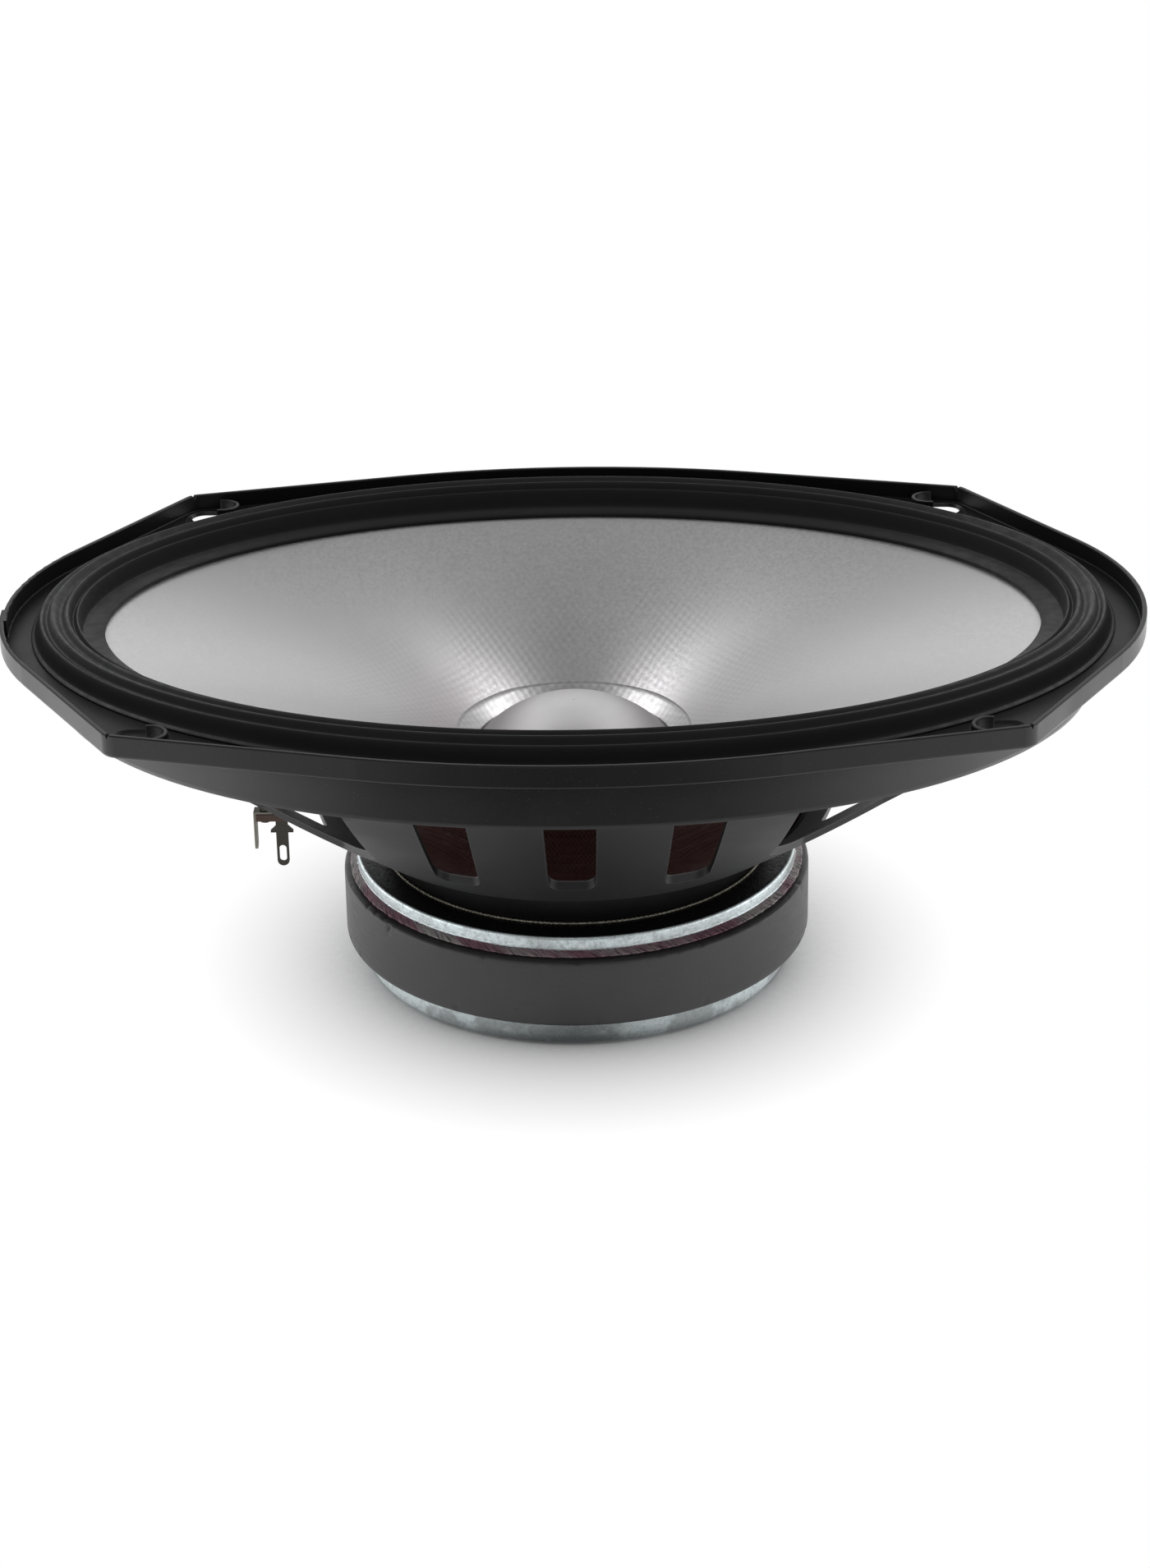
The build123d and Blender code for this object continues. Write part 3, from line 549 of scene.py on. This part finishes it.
def copper_braid():
    s = Shader("copper_braid")
    strand = s.noise(4.0, 3)
    colour = s.mix(strand, (0.26, 0.12, 0.06), (0.48, 0.26, 0.14))
    return s.finish(Base_Color=colour, Metallic=0.95, Roughness=s.span(strand, 0.3, 0.7, 0.30, 0.50),
                    Normal=s.bump(strand, 0.03))


def painted_fillet_highlight():
    """A painted highlight: the bright line where the fillet at the foot of the basket's cup meets the
    top plate.
    """
    s = Shader("painted_fillet_highlight")
    glint = s.span(s.noise(2.6, 3, 0.7), 0.35, 0.62)
    # painted highlight: bright glints along the ring
    colour = s.mix(glint, (0.30, 0.28, 0.19), (0.95, 0.92, 0.78))
    return s.finish(Base_Color=colour, Metallic=0.9, Roughness=s.span(glint, 0.3, 0.7, 0.22, 0.45),
                    Normal=s.bump(glint, 0.05))


PAINT = black_paint()
RUBBER = moulded_rubber()
WEAVE = metallised_weave()
CAP = metallised_cap()
CLEAR_GLUE = clear_glue()
SPIDER = spider_cloth()
ZINC = zinc_plate("zinc_plate", 0.30)
SCUFFED_ZINC = zinc_plate("scuffed_zinc", 0.55)
SHEARED = sheared_steel()
FERRITE = ground_ferrite()
STEEL = turned_steel()
RIVET = plated_rivet()
# the darker copy is painted shade, for the tabs that stand in shadow
PAINTED_SHADE_TIN = tinned_brass("tinned_brass_painted_shade", 0.28)
BRIGHT_TIN = tinned_brass("tinned_brass_bright", 1.0)
BOARD = laminated_board()
COPPER = enamelled_copper()
FILM = amber_film()
KRAFT = kraft_paper()
GLUE = black_glue()
SOLDER = bright_solder()
BRAID = copper_braid()
FILLET_HIGHLIGHT = painted_fillet_highlight()


def stands_for(piece, node, body):
    """A rebuilt piece that hides its CAD node and, when a body is given, is attached to it."""
    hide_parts(node)
    if body is not None:
        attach(piece, body)
    return piece


# ---- suspension ------------------------------------------------------------------------------
def surround():
    """Flat land on the cone, a roll with four ribs, and a flat foot on the flange.

    Both outlines are (distance outwards from the visible cone, height) in millimetres."""
    top = [(0, 0.95), (4.4, 0.95), (5.3, 4.9), (6.2, 4.0), (7.3, 5.9), (8.7, 4.9), (10.3, 6.1),
           (11.6, 4.5), (12.6, 5.1), (14.4, 1.6), (14.9, 1.3)]
    under = [(0, 0.1), (5.1, 0.1), (6.1, 3.3), (7.3, 5.0), (8.7, 4.1), (10.3, 5.2), (11.5, 3.8),
             (13.3, 1.0), (14.9, 1.0)]
    upper = eased([(x * MM, z * MM) for x, z in top], 7)
    lower = eased([(x * MM, z * MM) for x, z in under], 5)
    outline = lower + upper[::-1]
    piece = swept_oval("surround_roll", outline, CONE_EDGE, RUBBER)
    stands_for(piece, "surround", None)

    return flexes(piece)


def spider():
    """Corrugated cloth: a flat foot on the seat, five waves, and a lip at the coil former."""
    low, high = heights("spider")
    foot_r = reach("spider")[0]
    inner_r, outer_r = 21.2 * MM, 41.6 * MM
    waves, rise, thick = 5, 1.3 * MM, 0.45 * MM
    steps = 160

    def under_side(r):
        share = (r - inner_r) / (outer_r - inner_r)
        return low + rise * (1 - cos(2 * pi * waves * share)) / 2 if 0 < share < 1 else low

    lip_r = NECK_R + thick
    radii = [lip_r + (foot_r - lip_r) * i / steps for i in range(steps + 1)]
    upper = [(NECK_R, high), (lip_r, high), (lip_r, low + 1.0 * MM)]
    upper += [(r, under_side(r) + thick) for r in radii]
    under = [(r, under_side(r)) for r in reversed(radii)]
    outline = (upper + under + [(NECK_R, low)])[::-1]
    piece = turned("spider_cloth_disc", outline, SPIDER)
    stands_for(piece, "spider", None)

    return flexes(piece)


# ---- cone and dust cap -----------------------------------------------------------------------
CONE_NECK = (19.8 * MM, -27.6 * MM)      # radius and height of the neck
CONE_THICKNESS = 0.7 * MM
CONE_LIP = 3.4 * MM
CONE_BOW, CONE_OVAL_POWER = 0.12, 1.3


def cone_level(t):
    """Half axes and height of the cone's upper surface, from neck (0) to rim (1)."""
    r, z = CONE_NECK
    a = r + (CONE_EDGE[0] - r) * t ** CONE_OVAL_POWER
    b = r + (CONE_EDGE[1] - r) * t
    return a, b, z + (CONE_RIM_Z - z) * t * (1 + CONE_BOW * (1 - t))


def cone_rings(steps):
    """Rings of the upper surface from the neck to the outer edge of the lip."""
    rings = [cone_level(i / steps) for i in range(steps + 1)]
    return rings + [(rings[-1][0] + CONE_LIP, rings[-1][1] + CONE_LIP, CONE_RIM_Z)]


def cone():
    """A thin shell: upper surface out to the lip, lower surface back to the neck, and a collar."""
    upper = cone_rings(72)
    lower = [(a, b, z - CONE_THICKNESS) for a, b, z in reversed(upper)]
    r, z = CONE_NECK
    bottom = heights("cone")[0]
    outer = r + CONE_THICKNESS
    rings = upper + lower
    for radius, height in ((outer, z - 1.4 * MM), (outer, bottom), (NECK_R, bottom), (NECK_R, z)):
        rings.append((radius, radius, height))
    points = []
    for a, b, z in rings:
        for j in range(OVAL_SEGMENTS):
            angle = 2 * pi * j / OVAL_SEGMENTS
            points.append((a * cos(angle), b * sin(angle), z))
    faces = [face[::-1] for face in grid_faces(len(rings), OVAL_SEGMENTS, True)]
    piece = make_object("woven_cone", points, faces, WEAVE)
    return stands_for(piece, "cone", MOVING)


def dust_cap():
    """A shallow dome: a thin slice of a sphere."""
    low, high = heights("dust_cap")
    foot_r = reach("dust_cap")[0]
    rise, thick = high - low, 0.5 * MM
    sphere_r = (foot_r ** 2 + rise ** 2) / (2 * rise)
    first, last = 0.001, np.arcsin(foot_r / sphere_r)      # tilts at the top and at the foot
    tilts = [first + (last - first) * i / 40 for i in range(41)]
    centre_z = high - sphere_r
    outer = [(sphere_r * sin(t), centre_z + sphere_r * cos(t)) for t in tilts]
    inner_r = sphere_r - thick
    inner = [(inner_r * sin(t), centre_z + inner_r * cos(t)) for t in tilts]
    outline = (outer + inner[::-1])[::-1]
    piece = turned("dust_cap_dome", outline, CAP)
    return stands_for(piece, "dust_cap", MOVING)


def dust_cap_glue():
    """A thin clear band that follows the cone, with a slightly wandering outer edge."""
    inner_r = reach("dust_cap")[0] + 0.05 * MM
    width = reach("dust_cap_adhesive")[0] - reach("dust_cap")[0]
    segments, steps = 256, 12
    film, gap, wander = 0.3 * MM, 0.02 * MM, 0.18 * MM
    outwards = [i / steps for i in range(steps + 1)]
    under = [(share, gap) for share in outwards]
    upper = [(share, film * (1 - 0.85 * smoothstep((share - 0.75) / 0.25))) for share in outwards]
    points = []
    for share, lift in under + upper[::-1]:
        for j in range(segments):
            angle = 2 * pi * j / segments
            stray = wander * noise.noise(Vector((cos(angle), sin(angle), 0.5)) * 2.5)
            r = inner_r + (width + stray) * share
            points.append((r * cos(angle), r * sin(angle), cone_height(r, angle) + lift))
    faces = grid_faces(2 * (steps + 1), segments, True)
    piece = make_object("dust_cap_glue_band", points, faces, CLEAR_GLUE)
    return stands_for(piece, "dust_cap_adhesive", MOVING)


def cone_height(r, angle):
    """Height of the cone's upper surface at a distance from the axis, by bisection."""
    x, y = r * cos(angle), r * sin(angle)
    inner, outer = 0.0, 1.0
    for _ in range(24):
        middle = (inner + outer) / 2
        a, b, _ = cone_level(middle)
        if (x / a) ** 2 + (y / b) ** 2 > 1:
            inner = middle
        else:
            outer = middle
    return cone_level(outer)[2]


# ---- voice coil ------------------------------------------------------------------------------
def former():
    low, high = heights("voice_coil_former")
    outer = reach("voice_coil_former")[0]
    inner = outer - 0.2 * MM
    piece = turned("coil_former_tube", [(inner, high), (inner, low), (outer, low), (outer, high)], FILM)
    piece.data.polygons.foreach_set("use_smooth", [False] * len(piece.data.polygons))
    return stands_for(piece, "voice_coil_former", MOVING)


def winding():
    """Every turn of the outer layer is a small round ridge."""
    low, high = heights("voice_coil_winding")
    outer = reach("voice_coil_winding")[0]
    inner = reach("voice_coil_former")[0]
    wire = 0.35 * MM
    turns = int((high - low) / wire)
    pitch = (high - low) / turns
    ridges = []
    for i in range(turns):
        for share in (0.0, 0.25, 0.5, 0.75):
            ridges.append((outer - wire / 4 * (1 - sin(pi * share)), low + (i + share) * pitch))
    outline = [(inner, high), (inner, low)] + ridges + [(outer - wire / 4, high)]
    piece = turned("coil_winding_turns", outline, COPPER, segments=160)
    return stands_for(piece, "voice_coil_winding", MOVING)


def collar():
    low, high = heights("former_collar")
    outer = reach("former_collar")[0]
    inner = reach("voice_coil_former")[0]
    outline = rounded([(inner, high), (inner, low), (outer, low), (outer, high)], 0.1 * MM, 2)
    return stands_for(turned("former_collar_wrap", outline, KRAFT), "former_collar", MOVING)


def wavy_bead(size, lobes):
    """A hand-laid bead's small swellings, as a change of radius and height."""
    def ruffle(angle, r, z):
        spot = Vector((cos(angle) * lobes, sin(angle) * lobes, (r + z) / MM * 0.15))
        return size * noise.noise(spot), size * noise.noise(spot + Vector((9, 0, 0))) * 0.6
    return ruffle


def neck_glue():
    low, high = heights("neck_adhesive")
    outer = reach("neck_adhesive")[0]
    inner = FORMER_R + 0.03 * MM
    corners = [(inner, high - 0.05 * MM), (inner, low), (inner + 0.3 * MM, low),
               (outer - 0.3 * MM, high - 0.5 * MM), (outer - 0.2 * MM, high - 0.05 * MM)]
    piece = turned("neck_glue_fillet", rounded(corners, 0.4 * MM), GLUE,
                   ruffle=wavy_bead(0.12 * MM, 4))
    return stands_for(piece, "neck_adhesive", MOVING)


# ---- motor -----------------------------------------------------------------------------------
COIL_GAP_R, MAGNET_BORE_R, POLE_SPIGOT_R = 20.6 * MM, 26.0 * MM, 14.0 * MM


def top_plate():
    """A blanked plate: clean plated wall above, torn and flared edge below."""
    low, high = heights("top_plate")
    flare_r = reach("top_plate")[0]
    wall_r = flare_r - 1.5 * MM
    break_z = low + 1.3 * MM
    edge = divided([
        (flare_r - 0.5 * MM, low), (flare_r, low + 0.35 * MM),
        (wall_r + 0.25 * MM, break_z - 0.15 * MM), (wall_r, break_z), (wall_r, high - 0.5 * MM),
        (wall_r - 0.15 * MM, high - 0.15 * MM), (wall_r - 0.5 * MM, high),
    ], 0.3 * MM, closed=False)
    near = 0.4 * MM                      # rings close to the corners keep the flat faces flat
    bore_r = COIL_GAP_R
    bore = [(bore_r + near, high), (bore_r, high), (bore_r, low), (bore_r + near, low)]
    outline = [*bore, (edge[0][0] - near, low), *edge, (edge[-1][0] - near, high)]

    def torn(angle, r, z):
        """The wall is nearly true; the break below it wanders up and down, and the tear in and out."""
        if r < wall_r - 0.3 * MM:
            return 0.0, 0.0
        rim = Vector((cos(angle), sin(angle), 0.0)) * wall_r / MM
        wander = noise.noise(rim * 0.12) * 0.5 + noise.noise(rim * 0.7) * 0.25
        if z > break_z + 0.9 * MM:
            return 0.02 * MM * noise.noise(rim * 1.5 + Vector((0, 0, z / MM))), 0.0
        tear = noise.noise(Vector((rim.x * 1.1, rim.y * 1.1, z / MM * 0.4)))
        depth = smoothstep((break_z + 0.3 * MM - z) / (0.6 * MM))
        return 0.20 * MM * tear * depth, 0.35 * MM * wander * (1 - abs(2 * depth - 1))

    piece = turned("top_plate_blank", outline, ZINC, segments=720, ruffle=torn)
    piece.data.materials.append(SHEARED)
    for face in piece.data.polygons:
        middle = face.center
        r = Vector((middle.x, middle.y)).length
        rim = Vector((middle.x, middle.y, 0.0)).normalized() * wall_r / MM
        wander = 0.3 * MM * (noise.noise(rim * 0.12) + 0.5 * noise.noise(rim * 0.8))
        if r > wall_r - 0.3 * MM and middle.z < break_z + wander:
            face.material_index = 1
    return stands_for(piece, "top_plate", FIXED)


def cup_fillet_highlight():
    """A thin bright ring round the foot of the basket's cup, on the top plate: a painted highlight
    along the cup's fillet.
    """
    top = heights("top_plate")[1]
    highlight_r, thick, tick_count = 40.55 * MM, 0.28 * MM, 260
    turns = [2 * pi * i / 10 for i in range(10)]
    outline = [(highlight_r + thick * cos(a), top + 0.05 * MM + thick * sin(a)) for a in turns]

    def ticks(angle, r, z):
        return 0.05 * MM * sin(angle * tick_count), 0.04 * MM * sin(angle * tick_count + 1)

    piece = turned("cup_fillet_highlight_ring", outline, FILLET_HIGHLIGHT, segments=1040, ruffle=ticks)
    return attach(piece, FIXED)


def magnet():
    """A ground ferrite ring; its sharp edges are lightly chipped."""
    low, high = heights("magnet")
    outer = reach("magnet")[0]
    corners = [(MAGNET_BORE_R, high), (MAGNET_BORE_R, low), (outer, low), (outer, high)]
    outline = divided(rounded(corners, 0.9 * MM, 5), 1.2 * MM)

    def chips(angle, r, z):
        if outer - r >= 1.2 * MM or min(z - low, high - z) >= 1.0 * MM:
            return 0.0, 0.0
        spot = Vector((cos(angle) * outer / MM, sin(angle) * outer / MM, z / MM)) * 0.8
        bite = max(0.0, noise.noise(spot) - 0.42) * 1.3 * MM
        return -bite, bite * (1 if z - low < high - z else -1) * 0.6

    piece = turned("magnet_ring", outline, FERRITE, segments=512, ruffle=chips)
    return stands_for(piece, "magnet", FIXED)


def magnet_glue(node, name):
    """A thin squeezed-out line of glue between the magnet and a plate."""
    low, high = heights(node)
    outer = reach(node)[0]
    inner = outer - 16 * MM
    outline = [(inner, high), (inner, low), (outer, low), (outer + 0.06 * MM, (low + high) / 2),
               (outer, high)]
    piece = turned(name, outline, GLUE)
    return stands_for(piece, node, FIXED)


def back_plate():
    """A thick plated disc: a rolled-over bottom edge and a slightly rough blanked wall."""
    low, high = heights("back_plate")
    outer = reach("back_plate")[0]
    corners = [
        (POLE_SPIGOT_R, high), (POLE_SPIGOT_R, low), (outer - 1.3 * MM, low),
        (outer - 0.25 * MM, low + 0.7 * MM), (outer, low + 1.8 * MM), (outer, high),
    ]
    outline = divided(rounded(corners, 0.6 * MM, 4), 0.6 * MM)

    def rough_wall(angle, r, z):
        if outer - r > 1.5 * MM:
            return 0.0, 0.0
        spot = Vector((cos(angle) * outer / MM, sin(angle) * outer / MM, z / MM * 0.7))
        return 0.035 * MM * (noise.noise(spot * 0.9) + 0.5 * noise.noise(spot * 2.4)), 0.0

    piece = turned("back_plate_disc", outline, SCUFFED_ZINC, segments=512, ruffle=rough_wall)
    return stands_for(piece, "back_plate", FIXED)


def pole():
    low, high = heights("pole_piece")
    shoulder = heights("back_plate")[1]
    r, centre = reach("pole_piece")[0], 0.01 * MM
    corners = [
        (centre, high), (centre, low), (POLE_SPIGOT_R, low),
        (POLE_SPIGOT_R, shoulder), (r, shoulder), (r, high),
    ]
    piece = turned("pole_piece_core", rounded(corners, 0.5 * MM), STEEL)
    return stands_for(piece, "pole_piece", FIXED)


def spider_glue():
    low, high = heights("spider_adhesive")
    outer = reach("spider_adhesive")[0] + 0.2 * MM
    inner = outer - 5.2 * MM
    corners = [(inner, high), (inner, low), (outer, low), (outer, high)]
    piece = turned("spider_glue_ring", rounded(corners, 0.08 * MM, 2), GLUE)
    return stands_for(piece, "spider_adhesive", FIXED)


# ---- leads -----------------------------------------------------------------------------------
LEAD_RISE, LEAD_REACH = 14.0 * MM, 22.0 * MM
LEAD_STEPS = 140


def lead_path(start, end):
    """One curve that rises off the terminal's rivet and runs straight in to the coil former."""
    leaving = start + Vector((0, 0, LEAD_RISE))
    arriving = end + Vector((end.x, end.y, 0)).normalized() * LEAD_REACH
    path = []
    for i in range(LEAD_STEPS + 1):
        s = i / LEAD_STEPS
        t = 1 - s
        path.append(start * t ** 3 + leaving * 3 * t * t * s + arriving * 3 * t * s * s + end * s ** 3)
    return path


STRANDS, STRAND_SIDES = 5, 7
STRAND_R, STRAND_SPREAD = 0.21 * MM, 0.30 * MM
STRAND_TWIST = 0.42              # radians from one step of the path to the next


def strand(path, start_angle):
    """One wire of a twisted lead: tube points round a helix about the path."""
    points = []
    side = Vector((0, 1, 0))
    for i, spot in enumerate(path):
        ahead = (path[min(i + 1, len(path) - 1)] - path[max(i - 1, 0)]).normalized()
        side = (side - ahead * side.dot(ahead)).normalized()
        up = ahead.cross(side)
        twist = start_angle + STRAND_TWIST * i
        centre = spot + (side * cos(twist) + up * sin(twist)) * STRAND_SPREAD
        for j in range(STRAND_SIDES):
            angle = 2 * pi * j / STRAND_SIDES
            points.append(centre + (side * cos(angle) + up * sin(angle)) * STRAND_R)
    return points


def tinsel_lead(node, terminal, joint, name):
    """A lead of twisted strands from the terminal's rivet to the coil former."""
    path = lead_path(terminal, joint)
    points, faces = [], []
    for k in range(STRANDS):
        first = len(points)
        points += strand(path, 2 * pi * k / STRANDS)
        last = len(points) - STRAND_SIDES
        walls = grid_faces(len(path), STRAND_SIDES, False)
        faces += [tuple(first + i for i in face) for face in walls]
        faces.append(tuple(first + j for j in reversed(range(STRAND_SIDES))))
        faces.append(tuple(last + j for j in range(STRAND_SIDES)))
    piece = make_object(name, points, [face[::-1] for face in faces], BRAID)
    stands_for(piece, node, None)
    return flexes(piece)


def leads():
    """Both leads, from the two rivets at opposite corners of their box to the two solder joints."""
    low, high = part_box("terminal_tab_rivets")
    head_r, joint_r = 1.1 * MM, FORMER_R + 1.1 * MM
    joint_z = sum(heights("lead_solder_joints")) / 2
    ends = (
        ("positive", high.x - head_r, high.y - head_r, radians(188)),
        ("negative", low.x + head_r, low.y + head_r, radians(212)),
    )
    for name, x, y, angle in ends:
        node = f"tinsel_lead_{name}"
        terminal = Vector((x, y, heights(node)[0]))
        joint = Vector((joint_r * cos(angle), joint_r * sin(angle), joint_z))
        tinsel_lead(node, terminal, joint, f"lead_{name}_strands")


# ---- CAD nodes that keep their meshes --------------------------------------------------------
KEPT = {
    "basket": PAINT,
    "basket_rivets": RIVET,
    "terminal_board": BOARD,
    "terminal_board_rivet": RIVET,
    # the positive tab and the tab rivets take the copy darkened by painted shade
    "terminal_tab_positive": PAINTED_SHADE_TIN,
    "terminal_tab_negative": BRIGHT_TIN,
    "terminal_tab_rivets": PAINTED_SHADE_TIN,
    "lead_solder_joints": SOLDER,
}


def dress_kept_nodes():
    for node, material in KEPT.items():
        piece = frame["nodes"][node]
        piece.data.materials.clear()
        piece.data.materials.append(material)


# ---- stage, lights and camera ----------------------------------------------------------------
def floor_material():
    """A white sheet: shaded round the object's foot and pure white beyond, as the camera sees it.

    What the object itself sees is the sheet glowing, though it is no lamp: painted light, brightest at
    both sides and dark far in front, with a painted shadow round the object's foot."""
    s = Shader("white_sheet")
    x, y, _ = s.split(s.place)
    sideways = s.math("ABSOLUTE", x)
    _, distance = s.angle_round_axis()
    grain = s.span(s.noise(0.5, 3), 0.3, 0.7, 0.80, 0.86)
    s.finish(Base_Color=s.joined(grain, grain, grain), Roughness=0.9, Specular_IOR_Level=0.1)
    white = s.node("ShaderNodeEmission", {"Color": (1, 1, 1), "Strength": 1.0}).outputs[0]
    away = s.math("MAXIMUM", s.math("DIVIDE", s.math("SUBTRACT", distance, 45.0), 35.0), 0.0)
    whiter = s.math("MINIMUM", s.math("POWER", away, 0.5), 1.0)
    shaded = s.node("ShaderNodeMixShader", {0: whiter, 1: s.surface.outputs[0], 2: white}).outputs[0]
    # the glow the object sees: painted light, brighter towards both sides
    lit = s.math("ADD", s.span(sideways, 60.0, 170.0, 0.70, 2.1),
                 s.span(sideways, 190.0, 280.0, 0.0, -0.9))
    near_front = s.math("MULTIPLY", s.span(y, -132.0, -98.0, 0.88, 0.0),
                        s.span(sideways, 50.0, 150.0, 1.0, 0.0))
    far_front = s.math("MULTIPLY", s.span(y, -235.0, -160.0, 0.72, 0.0),
                       s.span(sideways, 170.0, 300.0, 1.0, 0.0))
    dark = s.math("MAXIMUM", near_front, far_front)
    lit = s.math("MULTIPLY", lit, s.math("SUBTRACT", 1.0, dark))
    # painted shadow round the object's foot in that glow
    from_foot = s.math("ADD", distance, s.math("MULTIPLY", sideways, 0.55))
    lit = s.math("MULTIPLY", lit, s.span(from_foot, 47.0, 80.0, 0.12, 1.0))
    glow = s.node("ShaderNodeEmission", {"Color": (1, 1, 1), "Strength": lit}).outputs[0]
    seen = s.node("ShaderNodeMixShader", {0: s.seen_by_camera(), 1: glow, 2: shaded}).outputs[0]
    s.feed(s.tree.nodes["Material Output"].inputs["Surface"], seen)
    return s.material


def floor():
    size, z = 6.0, CAD_BOX[0].z
    points = [(-size, -size, z), (size, -size, z), (size, size, z), (-size, size, z)]
    piece = make_object("floor", points, [(0, 1, 2, 3)], floor_material(), smooth=False)


SOFTBOX_SIDE, SOFTBOX_POWER = 0.45, 2.4
SOFTBOX_AIM = Vector((0, 0, -0.02))


def softbox(name, place):
    light = bpy.data.lights.new(name, "AREA")
    light.shape = "SQUARE"
    light.size = SOFTBOX_SIDE
    light.energy = SOFTBOX_POWER
    lamp = bpy.data.objects.new(name, light)
    lamp.location = place
    lamp.rotation_euler = (SOFTBOX_AIM - Vector(place)).to_track_quat("-Z", "Y").to_euler()
    bpy.context.scene.collection.objects.link(lamp)


def lights():
    """One soft light behind and above each end of the oval."""
    softbox("left_softbox", (-0.55, 0.30, 0.65))
    softbox("right_softbox", (0.55, 0.30, 0.65))


OVERHEAD_GLOW, REAR_GLOW, FRONT_GLOW = 0.30, 1.40, 0.28


def world():
    """White behind the object; the room that lights it is bright at the back and dim in front."""
    made = bpy.data.worlds.new("studio")
    g = Graph(made)
    direction = g.node("ShaderNodeTexCoord").outputs["Generated"]
    _, y, _ = g.split(direction)
    room = g.math("ADD", g.span(y, 0.60, 0.95, OVERHEAD_GLOW, REAR_GLOW),
                  g.span(y, -0.6, 0.0, FRONT_GLOW - OVERHEAD_GLOW, 0.0))
    seen = g.seen_by_camera()
    strength = g.math("ADD", g.math("MULTIPLY", room, g.math("SUBTRACT", 1.0, seen)), seen)
    background = g.tree.nodes["Background"]
    g.feed(background.inputs["Color"], (1, 1, 1))
    g.feed(background.inputs["Strength"], strength)
    bpy.context.scene.world = made
    bpy.context.scene.view_settings.view_transform = "Standard"


CAMERA_DISTANCE = 0.6545
CAMERA_ELEVATION, CAMERA_AZIMUTH, CAMERA_ROLL = 21.6, 0.93, -0.99      # degrees
FIELD_OF_VIEW = 27.7051                                                # degrees, the tall way
CAMERA_SHIFT = (0.0019, -0.1169)
CAMERA_AIM = Vector((0, 0, 4.3 * MM))


def camera():
    """Looks at the middle of the rim from in front and above, with the lens shifted downwards."""
    data = bpy.data.cameras.new("camera")
    data.sensor_fit = "AUTO"
    data.lens_unit = "FOV"
    data.angle = radians(FIELD_OF_VIEW)
    data.shift_x, data.shift_y = CAMERA_SHIFT
    data.clip_start, data.clip_end = 0.01, 20.0
    a, e = radians(CAMERA_AZIMUTH), radians(CAMERA_ELEVATION)
    back = Vector((sin(a) * cos(e), -cos(a) * cos(e), sin(e)))
    made = bpy.data.objects.new("camera", data)
    turn = back.to_track_quat("Z", "Y").to_matrix().to_4x4()
    roll = Matrix.Rotation(radians(CAMERA_ROLL), 4, "Z")
    made.matrix_world = Matrix.Translation(CAMERA_AIM + back * CAMERA_DISTANCE) @ turn @ roll
    bpy.context.scene.collection.objects.link(made)
    bpy.context.scene.camera = made


# ---- the whole scene -------------------------------------------------------------------------
dress_kept_nodes()
surround()
spider()
cone()
dust_cap()
dust_cap_glue()
former()
winding()
collar()
neck_glue()
top_plate()
cup_fillet_highlight()
magnet()
magnet_glue("magnet_adhesive_top", "magnet_glue_line_top")
magnet_glue("magnet_adhesive_bottom", "magnet_glue_line_bottom")
back_plate()
pole()
spider_glue()
leads()
floor()
lights()
world()
camera()
